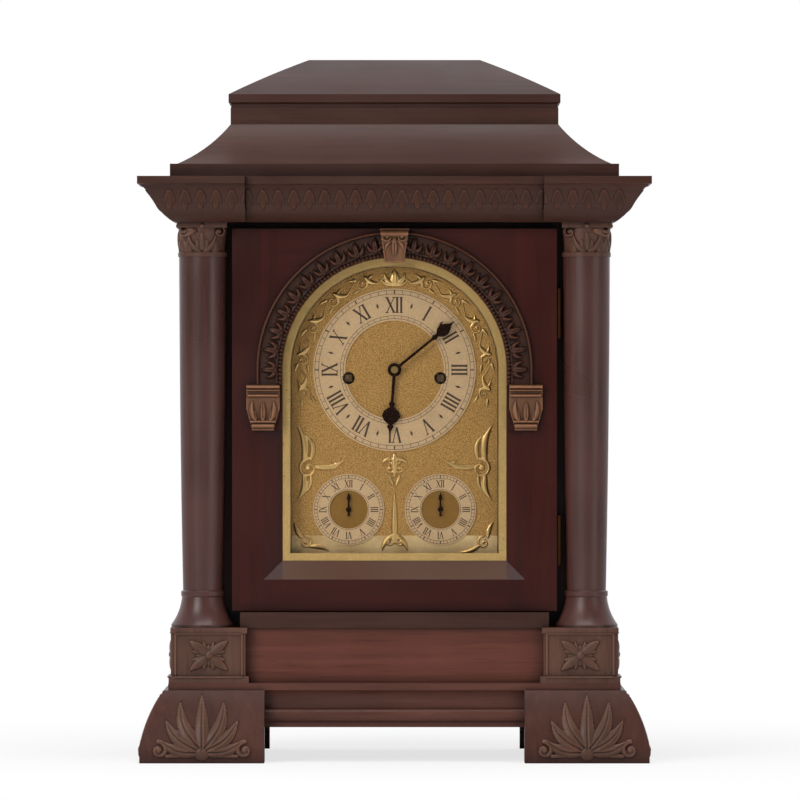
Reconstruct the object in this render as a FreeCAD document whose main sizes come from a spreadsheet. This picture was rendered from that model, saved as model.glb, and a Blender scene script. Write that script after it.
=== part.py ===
import FreeCAD, Part
import math
import os
import Sketcher
from FreeCAD import Placement, Rotation, Vector

# A bracket clock: carved wooden case between corner columns, arched brass
# dial, two doors, and an eight-day striking movement with a short pendulum.
# Frame: +X to the right of the dial, +Y to the back, +Z up.  The origin is in
# the middle of the footprint, on the surface that the feet stand on.
# Depths named "front" are distances in front of the origin, so y = -front.

SIZES = [
    # feet and base
    ("feet_half_width", 184.0, "centre to the outside of the feet"),
    ("feet_front", 126.4, "front of the feet"),
    ("foot_wing", 90.0, "length of each foot along a side"),
    ("foot_height", 52.0, "height of the feet"),
    ("foot_ankle", 10.0, "upright part at the bottom of a foot"),
    ("foot_draw", 17.0, "how far a foot draws in towards its top"),
    ("foot_swell", 2.4, "swell of the curved part of a foot"),
    ("back_plane", 114.0, "flat back of the case"),
    ("apron_half_width", 156.0, "centre to the outside of the rails between the feet"),
    ("apron_front", 98.0, "front of the front rail"),
    ("apron_bottom", 25.0, "underside of the rails"),
    ("rail_thick", 14.0, "thickness of the rails and of the base walls"),
    ("rear_foot_thick", 12.0, "thickness of the rear face of the rear feet"),
    ("bead_reach", 6.5, "how far the apron bead stands proud"),
    ("ledge_half_width", 163.7, "centre to the edge of the ledge over the feet"),
    ("ledge_front", 105.7, "front of the ledge over the feet"),
    ("ledge_thick", 5.0, "thickness of that ledge"),
    ("base_half_width", 154.0, "centre to the side of the base box"),
    ("base_front", 92.0, "front of the base panel"),
    ("base_height", 40.0, "height of the base box and of the pedestals"),
    ("pedestal_inner", 108.0, "centre to the inner side of a pedestal"),
    ("pedestal_outer", 161.0, "centre to the outer side of a pedestal"),
    ("pedestal_front", 103.4, "front of a pedestal"),
    ("pedestal_return", 50.0, "how far forward the side of a pedestal ends"),
    ("pedestal_step", 2.5, "how far the foot of a pedestal stands out"),
    ("pedestal_plinth", 5.0, "height of the foot of a pedestal"),
    ("pedestal_cap", 4.0, "height of the cap of a pedestal"),
    ("floor_thick", 11.0, "thickness of the floor board"),
    ("floor_half_width", 152.0, "centre to the side of the floor board"),
    ("floor_front", 96.0, "front of the floor board"),
    ("floor_notch_x", 112.0, "centre to the notch for a column"),
    ("floor_notch_front", 56.0, "back of the notch for a column"),
    # carcass
    ("case_half_width", 150.0, "centre to the outside of the case sides"),
    ("case_top", 391.0, "top of the case walls"),
    ("side_thick", 12.0, "thickness of the case sides"),
    ("front_face", 62.0, "front of the frame round the dial"),
    ("front_thick", 8.0, "thickness of the frame round the dial"),
    ("back_thick", 12.0, "thickness of the frame round the back door"),
    ("top_board_thick", 8.0, "thickness of the top board"),
    ("window_middle", 24.0, "middle of a side window behind the origin"),
    ("window_half_width", 46.0, "half the width of a side window"),
    ("window_sill", 148.0, "bottom of a side window"),
    ("window_spring", 288.0, "height where the arch of a side window begins"),
    ("glass_thick", 2.0, "thickness of every pane"),
    ("glass_lap", 5.0, "how far a pane laps behind its frame"),
    ("glass_play", 0.5, "play round a pane"),
    ("rebate_depth", 6.0, "depth of the rebate that holds a pane"),
    # columns
    ("column_inset", 10.5, "case side to the axis of a column"),
    ("column_front", 80.5, "axis of a column in front of the origin"),
    ("column_foot_radius", 22.7, "radius of the foot of a column"),
    ("column_low_radius", 14.2, "radius of the shaft at its bottom"),
    ("column_waist_radius", 16.2, "radius of the shaft at its middle"),
    ("column_high_radius", 17.1, "radius of the shaft at its top"),
    ("column_ring_radius", 15.6, "radius of the ring over the foot"),
    ("column_foot_height", 22.0, "height of the curved foot of a column"),
    ("column_top", 366.0, "top of the shaft"),
    ("capital_radius", 17.5, "radius of a capital under its slab"),
    ("abacus_half_width", 18.0, "half the width of the slab on a capital"),
    ("abacus_thick", 4.0, "thickness of the slab on a capital"),
    # cornice and roof
    ("cornice_overhang", 35.5, "case side to the tip of the cornice at its corners"),
    ("cornice_front", 130.0, "front tip of the cornice at its corners"),
    ("cornice_step", 7.0, "how far the cornice steps back between its corners"),
    ("cornice_block", 77.5, "width of the corner blocks of the cornice"),
    ("cornice_side_break", 48.0, "how far forward the corner blocks end"),
    ("cornice_height", 32.5, "height of the cornice"),
    ("cornice_reach", 26.0, "how far the cornice leans out"),
    ("cornice_edge", 5.5, "height of the upright edge of the cornice"),
    ("cornice_wall", 20.0, "case sides that the cornice covers, measured inwards"),
    ("roof_inset", 23.0, "tip of the cornice to the edge of the roof"),
    ("roof_fillet", 9.5, "height of the upright edge of the roof"),
    ("roof_draw", 43.0, "edge of the roof to the top of its hollow"),
    ("roof_cove_height", 30.0, "height of the hollow of the roof"),
    ("roof_cove_lip", 5.0, "width of the ledge at the foot of the hollow"),
    ("roof_cove_sag", 3.6, "depth of the hollow of the roof"),
    ("roof_neck_height", 12.0, "height of the neck of the roof"),
    ("roof_hollow", 36.0, "depth of the space inside the roof"),
    ("roof_wall", 60.0, "wood left round the space inside the roof"),
    ("cap_lap", 1.5, "how far the cap laps over the neck of the roof"),
    ("cap_edge", 10.0, "height of the edge of the cap"),
    ("cap_slope", 58.0, "edge of the cap to its flat top"),
    ("cap_rise", 27.5, "height of the slope of the cap"),
    ("cap_swell", 0.8, "swell of the slope of the cap"),
    # front door
    ("door_half_width", 118.0, "half the width of the front door"),
    ("door_front", 84.0, "front of the front door"),
    ("door_thick", 20.0, "thickness of the front door"),
    ("door_gap", 0.8, "gap under the front door"),
    ("door_top", 386.5, "top of the front door"),
    ("sight_half_width", 81.5, "half the width of the opening in the front door"),
    ("sight_lift", 8.0, "bottom of the dial plate to the bottom of the door opening"),
    ("arch_height", 284.0, "height of the centre of the dial and of its arch"),
    ("bevel_width", 13.5, "width of the bevel round the opening"),
    ("bevel_depth", 9.0, "depth of the bevel round the opening"),
    ("glass_setback", 14.0, "front of the door to the front of its pane"),
    ("bead_width", 5.5, "width of the brass bead in the opening"),
    ("bead_thick", 4.0, "thickness of the brass bead"),
    ("arch_band", 19.0, "width of the carved band round the arch"),
    ("arch_relief", 6.0, "how far the band stands out from the door"),
    ("impost_top", 273.0, "top of the carved blocks under the band"),
    ("impost_height", 33.0, "height of the carved blocks"),
    ("impost_width", 24.0, "width of the carved blocks"),
    ("impost_relief", 8.0, "how far the carved blocks stand out"),
    ("impost_taper", 4.0, "how much narrower the blocks are at the bottom"),
    ("keystone_low_half", 7.5, "half the width of the keystone at its foot"),
    ("keystone_high_half", 11.0, "half the width of the keystone at its top"),
    ("keystone_foot", 362.0, "bottom of the keystone"),
    ("keystone_relief", 5.0, "how far the keystone stands out from the band"),
    # hinges
    ("knuckle_radius", 1.5, "radius of a hinge knuckle"),
    ("pin_radius", 0.8, "radius of a hinge pin"),
    ("pin_play", 0.1, "running clearance of every pin and pivot"),
    ("leaf_thick", 0.7, "thickness of a hinge leaf"),
    ("hinge_height", 36.0, "height of a hinge"),
    ("front_pivot_gap", 1.9, "edge of the front door to its hinge axis"),
    ("front_hinge_low", 160.0, "middle of the lower hinge of the front door"),
    ("front_hinge_high", 325.0, "middle of the upper hinge of the front door"),
    ("back_hinge_low", 170.0, "middle of the lower hinge of the back door"),
    ("back_hinge_high", 330.0, "middle of the upper hinge of the back door"),
    ("back_leaf_width", 11.0, "width of a leaf of the back hinges"),
    # back door
    ("back_opening_half", 112.0, "half the width of the opening at the back"),
    ("back_opening_low", 124.0, "bottom of the opening at the back"),
    ("back_opening_high", 375.0, "top of the opening at the back"),
    ("back_door_gap", 0.5, "gap round the back door"),
    ("back_stile", 24.0, "width of the frame of the back door"),
    ("catch_inset", 12.0, "edge of the back door to the catch"),
    ("catch_height", 250.0, "height of the catch"),
    ("knob_radius", 7.0, "radius of the knob of the catch"),
    ("knob_reach", 16.0, "how far the knob stands out at the back"),
    ("catch_shaft_radius", 2.0, "radius of the shaft of the catch"),
    ("catch_bar_length", 20.0, "length of the bar of the catch"),
    ("catch_bar_width", 7.0, "width of the bar of the catch"),
    ("catch_bar_thick", 2.5, "thickness of the bar of the catch"),
    # dial
    ("dial_thick", 2.5, "thickness of the dial plate"),
    ("dial_half_width", 88.0, "half the width of the dial plate"),
    ("dial_margin", 19.0, "small dials to the bottom of the dial plate"),
    ("mask_lap", 4.0, "how far the frame round the dial laps over it"),
    ("ring_outer", 59.4, "outer radius of the hour ring"),
    ("ring_inner", 36.0, "inner radius of the hour ring"),
    ("ring_thick", 1.5, "thickness of the rings"),
    ("small_dial_x", 33.5, "centre to the small dials"),
    ("small_dial_height", 182.0, "height of the small dials"),
    ("small_outer", 26.0, "outer radius of a small dial"),
    ("small_inner", 14.0, "inner radius of a small dial"),
    ("spandrel_inner", 61.5, "inner radius of the arch ornaments"),
    ("spandrel_outer", 74.0, "outer radius of the arch ornaments"),
    ("spandrel_thick", 2.0, "thickness of the ornaments"),
    ("dial_foot_radius", 2.0, "radius of a dial foot"),
    ("dial_foot_x", 55.0, "centre to the dial feet"),
    ("dial_foot_low", 222.0, "height of the lower dial feet"),
    ("dial_foot_high", 345.0, "height of the upper dial feet"),
    ("winding_hole_radius", 4.5, "radius of a winding hole"),
    # hands
    ("minute_length", 57.0, "axis to the tip of the minute hand"),
    ("hour_length", 46.0, "axis to the tip of the hour hand"),
    ("minute_angle", 51.0, "degrees past twelve of the minute hand"),
    ("hand_thick", 1.0, "thickness of the hands"),
    ("hour_hand_gap", 2.0, "hour ring to the hour hand"),
    ("hand_gap", 1.5, "hour hand to the minute hand"),
    ("pointer_length", 12.5, "axis to the tip of a small pointer"),
    ("silent_angle", 0.0, "degrees past upright of the strike pointer"),
    ("speed_angle", 0.0, "degrees past upright of the regulation pointer"),
    # movement
    ("plate_half_width", 65.0, "half the width of the movement plates"),
    ("plate_height", 140.0, "height of the movement plates"),
    ("plate_thick", 3.0, "thickness of the movement plates"),
    ("plate_front", 42.0, "front of the front plate"),
    ("plate_space", 52.0, "space between the plates"),
    ("seat_height", 212.0, "top of the seat board"),
    ("seat_thick", 14.0, "thickness of the seat board"),
    ("seat_margin", 2.0, "seat board in front of and behind the plates"),
    ("pillar_x", 58.0, "centre to the pillars"),
    ("pillar_low", 220.0, "height of the lower pillars"),
    ("pillar_high", 346.0, "height of the upper pillars"),
    ("pillar_radius", 3.2, "radius of a pillar"),
    ("pillar_collar", 5.0, "radius of the collar of a pillar"),
    ("arbor_radius", 1.5, "radius of the thicker arbors"),
    ("thin_arbor_radius", 0.9, "radius of the thinner arbors"),
    ("barrel_x", 33.5, "centre to the winding arbors"),
    ("barrel_drop", 6.0, "winding arbors below the centre of the dial"),
    ("drum_radius", 26.0, "radius of a spring barrel"),
    ("drum_length", 24.0, "length of a spring barrel"),
    ("drum_wall", 1.5, "wall of a spring barrel"),
    ("barrel_arbor_radius", 4.0, "radius of a barrel arbor"),
    ("square_side", 5.0, "side of a winding square"),
    ("square_reach", 1.5, "how far a winding square passes the dial"),
    ("ratchet_radius", 11.0, "radius of a ratchet wheel"),
    ("escape_rise", 36.0, "centre of the dial to the escape wheel"),
    ("escape_radius", 12.5, "radius of the escape wheel"),
    ("pallet_rise", 17.7, "escape wheel to the arbor of the anchor"),
    ("hammer_x", 59.0, "centre to the arbor of the hammer"),
    ("hammer_height", 322.0, "height of the arbor of the hammer"),
    ("hammer_head", 7.0, "side of the head of the hammer"),
    ("hammer_strike", 8.0, "mouth of the bell to the middle of the hammer head"),
    ("bell_front", 13.0, "axis of the bell in front of the origin"),
    ("bell_radius", 30.0, "radius of the mouth of the bell"),
    ("bell_height", 18.0, "height of the bell"),
    ("bell_mouth", 358.0, "height of the mouth of the bell"),
    ("bell_wall", 1.6, "thickness of the bell"),
    ("bell_screw_radius", 2.0, "radius of the screw that holds the bell"),
    ("bell_post_inner", 24.0, "centre to the inner side of the post of the bell"),
    ("bell_post_outer", 30.0, "centre to the outer side of the post of the bell"),
    ("cock_half_width", 20.0, "half the width of the back cock"),
    ("cock_leg_inner", 15.0, "centre to the inner side of a leg of the back cock"),
    ("cock_stand", 5.0, "back plate to the bridge of the back cock"),
    ("cock_thick", 2.0, "thickness of the bridge of the back cock"),
    ("cock_stud_half", 3.0, "half the width of the stud that holds the pendulum"),
    ("suspension_half_thick", 0.2, "half the thickness of the suspension spring"),
    ("pendulum_length", 182.6, "hinge of the pendulum to the middle of its bob"),
    ("bob_radius", 21.0, "radius of the bob"),
    ("bob_half_thick", 5.5, "half the thickness of the bob"),
    ("pendulum_back", 25.0, "pendulum behind the origin"),
    ("rod_radius", 1.2, "radius of the pendulum rod"),
]

# Wheel trains: module, wheel teeth and pinion leaves of each mesh.
GREAT = {"module": 0.8, "wheel": 72, "pinion": 12}
SECOND = {"module": 0.6, "wheel": 60, "pinion": 12}
CENTRE = {"module": 0.4, "wheel": 96, "pinion": 8}
THIRD = {"module": 0.4, "wheel": 80, "pinion": 8}
CANNON = {"module": 0.625, "wheel": 36, "pinion": 12}
HOUR = {"module": 0.6, "wheel": 40, "pinion": 10}
PIN = {"module": 0.5, "wheel": 60, "pinion": 10}
WARNING = {"module": 0.4, "wheel": 60, "pinion": 10}

doc = FreeCAD.newDocument("BracketClock")
sheet = doc.addObject("Spreadsheet::Sheet", "Sizes")


class Size:
    """A length with its present value and the expression that binds it to the sheet."""

    def __init__(self, text, value):
        self.text = text
        self.value = value

    def __add__(self, other):
        return Size(f"({self.text} + {text_of(other)})", self.value + value_of(other))

    def __radd__(self, other):
        return Size(f"({text_of(other)} + {self.text})", value_of(other) + self.value)

    def __sub__(self, other):
        return Size(f"({self.text} - {text_of(other)})", self.value - value_of(other))

    def __rsub__(self, other):
        return Size(f"({text_of(other)} - {self.text})", value_of(other) - self.value)

    def __mul__(self, other):
        return Size(f"({self.text} * {text_of(other)})", self.value * value_of(other))

    __rmul__ = __mul__

    def __truediv__(self, other):
        return Size(f"({self.text} / {text_of(other)})", self.value / value_of(other))

    def __neg__(self):
        return Size(f"(0 - {self.text})", -self.value)


def text_of(size):
    return size.text if isinstance(size, Size) else f"{float(size):.9f}"


def value_of(size):
    return size.value if isinstance(size, Size) else float(size)


def fill_sheet():
    """Write the driving sizes and return them by name."""
    sizes = {}
    for row, (name, value, meaning) in enumerate(SIZES, start=1):
        sheet.set(f"A{row}", str(value))
        sheet.setAlias(f"A{row}", name)
        sheet.set(f"B{row}", meaning)
        sizes[name] = Size(f"Sizes.{name}", value)
    doc.recompute()
    return sizes


class Named:
    """The sizes as attributes, so that formulas read well."""

    def __init__(self, sizes):
        self.__dict__.update(sizes)


S = Named(fill_sheet())
ZERO = Size("0", 0.0)
NODES = []


class Bend:
    """A point that an arc passes through, between two corners of an outline."""

    def __init__(self, u, v):
        self.u = u
        self.v = v


# --- building blocks ------------------------------------------------------


def bind(thing, property_name, size):
    thing.setExpression(property_name, text_of(size))


def place(thing, x=0, y=0, z=0):
    for axis, size in (("x", x), ("y", y), ("z", z)):
        if isinstance(size, Size) or size:
            bind(thing, f"Placement.Base.{axis}", size)
    return thing


def node(thing, name):
    """Mark a finished piece: its label names its file."""
    thing.Label = name
    NODES.append(thing)
    return thing


def box(name, across, deep, high):
    """A block between pairs of planes across X, along Y and up Z."""
    block = doc.addObject("Part::Box", name)
    bind(block, "Length", across[1] - across[0])
    bind(block, "Width", deep[1] - deep[0])
    bind(block, "Height", high[1] - high[0])
    return place(block, across[0], deep[0], high[0])


def rod(name, radius, along, start, end, first, second):
    """A cylinder along Y or Z; first and second place its axis."""
    piece = doc.addObject("Part::Cylinder", name)
    bind(piece, "Radius", radius)
    bind(piece, "Height", end - start)
    if along == "Y":
        piece.Placement = Placement(Vector(), Rotation(Vector(1, 0, 0), -90))
        return place(piece, first, start, second)
    return place(piece, first, second, start)


def union(name, pieces):
    whole = doc.addObject("Part::MultiFuse", name)
    whole.Shapes = pieces
    return whole


def overlap(name, pieces):
    shared = doc.addObject("Part::MultiCommon", name)
    shared.Shapes = pieces
    return shared


def cut(name, base, tools):
    result = doc.addObject("Part::Cut", name)
    result.Base = base
    result.Tool = tools[0] if len(tools) == 1 else union(name + "_tools", tools)
    return result


def group(name, pieces):
    """Separate solids that share one node."""
    together = doc.addObject("Part::Compound", name)
    together.Links = pieces
    return together


PLANES = {"XY": "XY_Plane", "XZ": "XZ_Plane", "YZ": "YZ_Plane"}


def new_body(name):
    return doc.addObject("PartDesign::Body", name)


def new_sketch(body, name, plane, offset=ZERO):
    """A sketch on one of the body's own planes, moved along the plane's normal."""
    sketch = body.newObject("Sketcher::SketchObject", name)
    role = PLANES[plane]
    support = [part for part in body.Origin.OriginFeatures if part.Role == role][0]
    sketch.AttachmentSupport = [(support, "")]
    sketch.MapMode = "FlatFace"
    bind(sketch, "AttachmentOffset.Base.z", offset)
    return sketch


def fix_point(sketch, element, which, u, v):
    """Tie a point of the sketch to two sizes, measured from the sketch's origin."""
    for kind, size in (("DistanceX", u), ("DistanceY", v)):
        index = sketch.addConstraint(
            Sketcher.Constraint(kind, -1, 1, element, which, value_of(size))
        )
        if isinstance(size, Size):
            sketch.setExpression(f"Constraints[{index}]", size.text)


def vector(point):
    if isinstance(point, Bend):
        return Vector(value_of(point.u), value_of(point.v), 0)
    return Vector(value_of(point[0]), value_of(point[1]), 0)


def draw_outline(sketch, outline):
    """Draw a closed outline of corners, with arcs through its Bend points."""
    corners = [point for point in outline if not isinstance(point, Bend)]
    elements = []
    bends = []
    for place_in_list, point in enumerate(outline):
        if isinstance(point, Bend):
            continue
        after = outline[(place_in_list + 1) % len(outline)]
        if isinstance(after, Bend):
            end = outline[(place_in_list + 2) % len(outline)]
            edge = Part.Arc(vector(point), vector(after), vector(end))
            bends.append((len(elements), after))
        else:
            edge = Part.LineSegment(vector(point), vector(after))
        elements.append(sketch.addGeometry(edge, False))
    joins = []
    for element in elements:
        joins.append(end_numbers(sketch, element, vector(corners[len(joins)])))
    for number, element in enumerate(elements):
        following = (number + 1) % len(elements)
        sketch.addConstraint(
            Sketcher.Constraint(
                "Coincident", element, joins[number][1], elements[following], joins[following][0]
            )
        )
        fix_point(sketch, element, joins[number][0], *corners[number])
    for number, bend in bends:
        mark = sketch.addGeometry(Part.Point(vector(bend)), True)
        fix_point(sketch, mark, 1, bend.u, bend.v)
        sketch.addConstraint(Sketcher.Constraint("PointOnObject", mark, 1, elements[number]))


def end_numbers(sketch, element, start):
    """The numbers of an edge's first and last point, the first one lying at start."""
    if sketch.getPoint(element, 1).distanceToPoint(start) < 1e-4:
        return 1, 2
    return 2, 1


def draw_circle(sketch, u, v, radius):
    circle = sketch.addGeometry(
        Part.Circle(vector((u, v)), Vector(0, 0, 1), value_of(radius)), False
    )
    fix_point(sketch, circle, 3, u, v)
    index = sketch.addConstraint(Sketcher.Constraint("Radius", circle, value_of(radius)))
    if isinstance(radius, Size):
        sketch.setExpression(f"Constraints[{index}]", radius.text)


# The normals of the three planes: +Z, -Y and +X.
NORMAL_SIGN = {"XY": 1, "XZ": -1, "YZ": 1}


def prism(name, plane, outline, start, end, holes=(), openings=()):
    """A body with one outline padded from start to end across its plane.

    holes are circles (u, v, radius) and openings are inner outlines.
    """
    body = new_body(name)
    far = -start if NORMAL_SIGN[plane] < 0 else end
    near = -end if NORMAL_SIGN[plane] < 0 else start
    sketch = new_sketch(body, name + "_outline", plane, near)
    draw_outline(sketch, outline)
    pad = body.newObject("PartDesign::Pad", name + "_pad")
    pad.Profile = sketch
    bind(pad, "Length", far - near)
    sketch.Visibility = False
    if holes or openings:
        doc.recompute()
        cutting = new_sketch(body, name + "_openings", plane, near)
        for inner in openings:
            draw_outline(cutting, inner)
        for u, v, radius in holes:
            draw_circle(cutting, u, v, radius)
        pocket = body.newObject("PartDesign::Pocket", name + "_pocket")
        pocket.Profile = cutting
        pocket.Reversed = True
        bind(pocket, "Length", far - near)
    return body


def turned(name, outline):
    """A body turned about its own Z axis from an outline of (radius, height)."""
    body = new_body(name)
    sketch = new_sketch(body, name + "_outline", "XZ")
    draw_outline(sketch, outline)
    turn = body.newObject("PartDesign::Revolution", name + "_turned")
    turn.Profile = sketch
    turn.ReferenceAxis = (sketch, ["V_Axis"])
    turn.Angle = 360
    return body


def facing_back(piece, x, y, z):
    """Lay a turned piece along Y, its height pointing to the back."""
    piece.Placement = Placement(Vector(), Rotation(Vector(1, 0, 0), -90))
    return place(piece, x, y, z)


def computed(name, shape, x=0.0, y=0.0, z=0.0):
    """A piece whose shape is worked out here, then put in its place."""
    feature = doc.addObject("Part::Feature", name)
    feature.Shape = shape
    feature.Placement = Placement(Vector(x, y, z), Rotation())
    return feature


def rectangle(u0, u1, v0, v1):
    return [(u0, v0), (u1, v0), (u1, v1), (u0, v1)]


def arched(middle, half_width, sill, spring):
    """An opening with a round arch as wide as itself."""
    return [
        (middle - half_width, sill),
        (middle + half_width, sill),
        (middle + half_width, spring),
        Bend(middle, spring + half_width),
        (middle - half_width, spring),
    ]


def both_ways(half):
    return (-half, half)


# --- planes that several pieces share -------------------------------------

ledge_low = S.foot_height
base_low = S.foot_height + S.ledge_thick
base_high = base_low + S.base_height
floor_high = base_high + S.floor_thick
front_back = -(S.front_face - S.front_thick)
back_inner = S.back_plane - S.back_thick
dial_front = front_back
dial_back = dial_front + S.dial_thick
ring_front = dial_front - S.ring_thick
cornice_high = S.case_top + S.cornice_height
cove_low = cornice_high + S.roof_fillet
neck_low = cove_low + S.roof_cove_height
cap_low = neck_low + S.roof_neck_height
slope_low = cap_low + S.cap_edge
roof_high = slope_low + S.cap_rise
door_low = floor_high + S.door_gap
column_low = base_high
movement_front = -S.plate_front
space_front = movement_front + S.plate_thick
space_back = space_front + S.plate_space
movement_back = space_back + S.plate_thick
barrel_height = S.arch_height - S.barrel_drop
escape_height = S.arch_height + S.escape_rise
pallet_height = escape_height + S.pallet_rise
column_x = S.case_half_width - S.column_inset
cornice_half = S.case_half_width + S.cornice_overhang
cornice_break = cornice_half - S.cornice_block
roof_half = cornice_half - S.roof_inset
cove_top_half = roof_half - S.roof_draw
cap_half = cove_top_half + S.cap_lap
cap_top_half = cap_half - S.cap_slope
dial_sill = S.small_dial_height - S.small_outer - S.dial_margin
sight_sill = dial_sill + S.sight_lift


# --- base -----------------------------------------------------------------


def foot_profile(inner, outer, sign):
    """A bracket foot seen square on: upright ankle, then a swelling draw to the top."""
    top = outer - S.foot_draw
    middle = (outer + top) / 2 + S.foot_swell
    height = (S.foot_ankle + S.foot_height) / 2
    return [
        (inner * sign, ZERO),
        (outer * sign, ZERO),
        (outer * sign, S.foot_ankle),
        Bend(middle * sign, height),
        (top * sign, S.foot_height),
        (inner * sign, S.foot_height),
    ]


def foot(side, end):
    """One foot: side is -1 left or 1 right, end is "front" or "rear"."""
    name = f"foot_{end}_{'left' if side < 0 else 'right'}"
    inner = S.feet_half_width - S.foot_wing
    across = foot_profile(inner, S.feet_half_width, side)
    if end == "front":
        low, high = -S.feet_front, S.foot_wing - S.feet_front
        hollow_deep = (-S.apron_front, high + 1)
        along = foot_profile(S.feet_front - S.foot_wing, S.feet_front, -1)
        width = prism(name + "_across", "XZ", across, low, high)
        reach = sorted_pair(inner * side, S.feet_half_width * side)
        depth = prism(name + "_along", "YZ", along, *reach)
        block = overlap(name + "_block", [width, depth])
    else:
        low, high = S.back_plane - S.foot_wing, S.back_plane
        hollow_deep = (low - 1, S.back_plane - S.rear_foot_thick)
        block = prism(name + "_block", "XZ", across, low, high)
    hollow_across = sorted_pair((inner - 1) * side, S.apron_half_width * side)
    hollow = box(name + "_hollow", hollow_across, hollow_deep, (-S.foot_ankle, S.foot_height + 1))
    return cut(name, block, [hollow])


def sorted_pair(first, second):
    return (first, second) if value_of(first) < value_of(second) else (second, first)


def feet():
    pieces = [foot(side, end) for end in ("front", "rear") for side in (-1, 1)]
    node(group("feet", pieces), "feet")


def bead_profile(face, sign):
    """The round bead and the hollow above it, outside a rail's face."""
    low = S.apron_bottom
    high = S.foot_height
    flat = face + S.bead_reach / 4
    return [
        (face * sign, low),
        (flat * sign, low),
        (flat * sign, low + 4),
        Bend((face + S.bead_reach) * sign, low + 9),
        (flat * sign, low + 14),
        ((face + 1) * sign, low + 16),
        Bend((face + S.bead_reach / 2.6) * sign, low + 23),
        ((face + S.bead_reach) * sign, high),
        (face * sign, high),
    ]


def base_moulding():
    """Rails between the feet, with their bead, under the ledge that carries the base."""
    inner_half = S.apron_half_width - S.rail_thick
    rear = S.back_plane - S.rear_foot_thick
    outer = box(
        "rails_outer", both_ways(S.apron_half_width), (-S.apron_front, rear), (S.apron_bottom, ledge_low)
    )
    inner = box(
        "rails_inner",
        both_ways(inner_half),
        (S.rail_thick - S.apron_front, rear - S.rail_thick),
        (S.apron_bottom - 1, ledge_low + 1),
    )
    ledge_outer = box(
        "ledge_outer", both_ways(S.ledge_half_width), (-S.ledge_front, S.back_plane), (ledge_low, base_low)
    )
    ledge_inner = box(
        "ledge_inner",
        both_ways(inner_half),
        (S.rail_thick - S.apron_front, rear - S.rail_thick),
        (ledge_low - 1, base_low + 1),
    )
    gap = S.feet_half_width - S.foot_wing
    front_bead = prism("front_bead", "YZ", bead_profile(S.apron_front, -1), -gap, gap)
    side_span = (S.foot_wing - S.feet_front, S.back_plane - S.foot_wing)
    side_beads = [
        prism(f"{word}_bead", "XZ", bead_profile(S.apron_half_width, sign), *side_span)
        for word, sign in (("left", -1), ("right", 1))
    ]
    rails = cut("rails", outer, [inner])
    ledge = cut("ledge", ledge_outer, [ledge_inner])
    node(union("base_moulding", [rails, ledge, front_bead, *side_beads]), "base_moulding")


def base_box():
    """The plain box between the pedestals."""
    outer = box(
        "base_outer", both_ways(S.base_half_width), (-S.base_front, S.back_plane), (base_low, base_high)
    )
    inner = box(
        "base_inner",
        both_ways(S.base_half_width - S.rail_thick),
        (S.rail_thick - S.base_front, S.back_plane - S.rail_thick),
        (base_low - 1, base_high + 1),
    )
    node(cut("base_box", outer, [inner]), "base_box")


def pedestal(side):
    """A block under each column, wrapped round the corner of the base box."""
    word = "left" if side < 0 else "right"
    bands = (
        ("plinth", S.pedestal_step, base_low, base_low + S.pedestal_plinth),
        ("die", ZERO, base_low + S.pedestal_plinth, base_high - S.pedestal_cap),
        ("cap", S.pedestal_step / 2, base_high - S.pedestal_cap, base_high),
    )
    blocks = []
    for band, step, low, high in bands:
        across = sorted_pair((S.pedestal_inner - step) * side, (S.pedestal_outer + step) * side)
        deep = (-(S.pedestal_front + step * 0.8), step - S.pedestal_return)
        blocks.append(box(f"pedestal_{word}_{band}", across, deep, (low, high)))
    core = box(
        f"pedestal_{word}_core",
        both_ways(S.base_half_width),
        (-S.base_front, S.back_plane),
        (base_low - 1, base_high + 1),
    )
    return cut(f"pedestal_{word}", union(f"pedestal_{word}_blocks", blocks), [core])


def pedestals():
    node(group("front_pedestals", [pedestal(-1), pedestal(1)]), "front_pedestals")


def floor_board():
    """The board that closes the base, notched round the columns."""
    half, notch = S.floor_half_width, S.floor_notch_x
    outline = [
        (-notch, -S.floor_front),
        (notch, -S.floor_front),
        (notch, -S.floor_notch_front),
        (half, -S.floor_notch_front),
        (half, S.back_plane),
        (-half, S.back_plane),
        (-half, -S.floor_notch_front),
        (-notch, -S.floor_notch_front),
    ]
    node(prism("floor_board", "XY", outline, base_high, floor_high), "floor_board")


# --- carcass --------------------------------------------------------------


def side_panels():
    """Each side is a frame with an arched window, glazed from inside."""
    outline = rectangle(front_back, back_inner, floor_high, S.case_top)
    for word, side in (("left", -1), ("right", 1)):
        outer = S.case_half_width
        inner = outer - S.side_thick
        window = arched(S.window_middle, S.window_half_width, S.window_sill, S.window_spring)
        wall = sorted_pair(inner * side, outer * side)
        whole = prism(f"{word}_side", "YZ", outline, *wall, openings=[window])
        lap = S.window_half_width + S.glass_lap
        sill = S.window_sill - S.glass_lap
        rebate_span = sorted_pair((inner - 1) * side, (inner + S.rebate_depth) * side)
        rebate = prism(
            f"{word}_rebate", "YZ", arched(S.window_middle, lap, sill, S.window_spring), *rebate_span
        )
        node(cut(f"{word}_side_panel", whole, [rebate]), f"{word}_side_panel")
        pane = arched(S.window_middle, lap - S.glass_play, sill + S.glass_play, S.window_spring)
        pane_outer = inner + S.rebate_depth
        span = sorted_pair((pane_outer - S.glass_thick) * side, pane_outer * side)
        node(prism(f"{word}_side_glass", "YZ", pane, *span), f"{word}_side_glass")


def front_frame():
    """The board behind the front door that masks the edge of the dial."""
    outline = rectangle(-S.case_half_width, S.case_half_width, floor_high, S.case_top)
    half = S.dial_half_width - S.mask_lap
    opening = arched(ZERO, half, dial_sill + S.mask_lap, S.arch_height)
    frame = prism("front_frame", "XZ", outline, -S.front_face, front_back, openings=[opening])
    node(frame, "front_frame")


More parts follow.
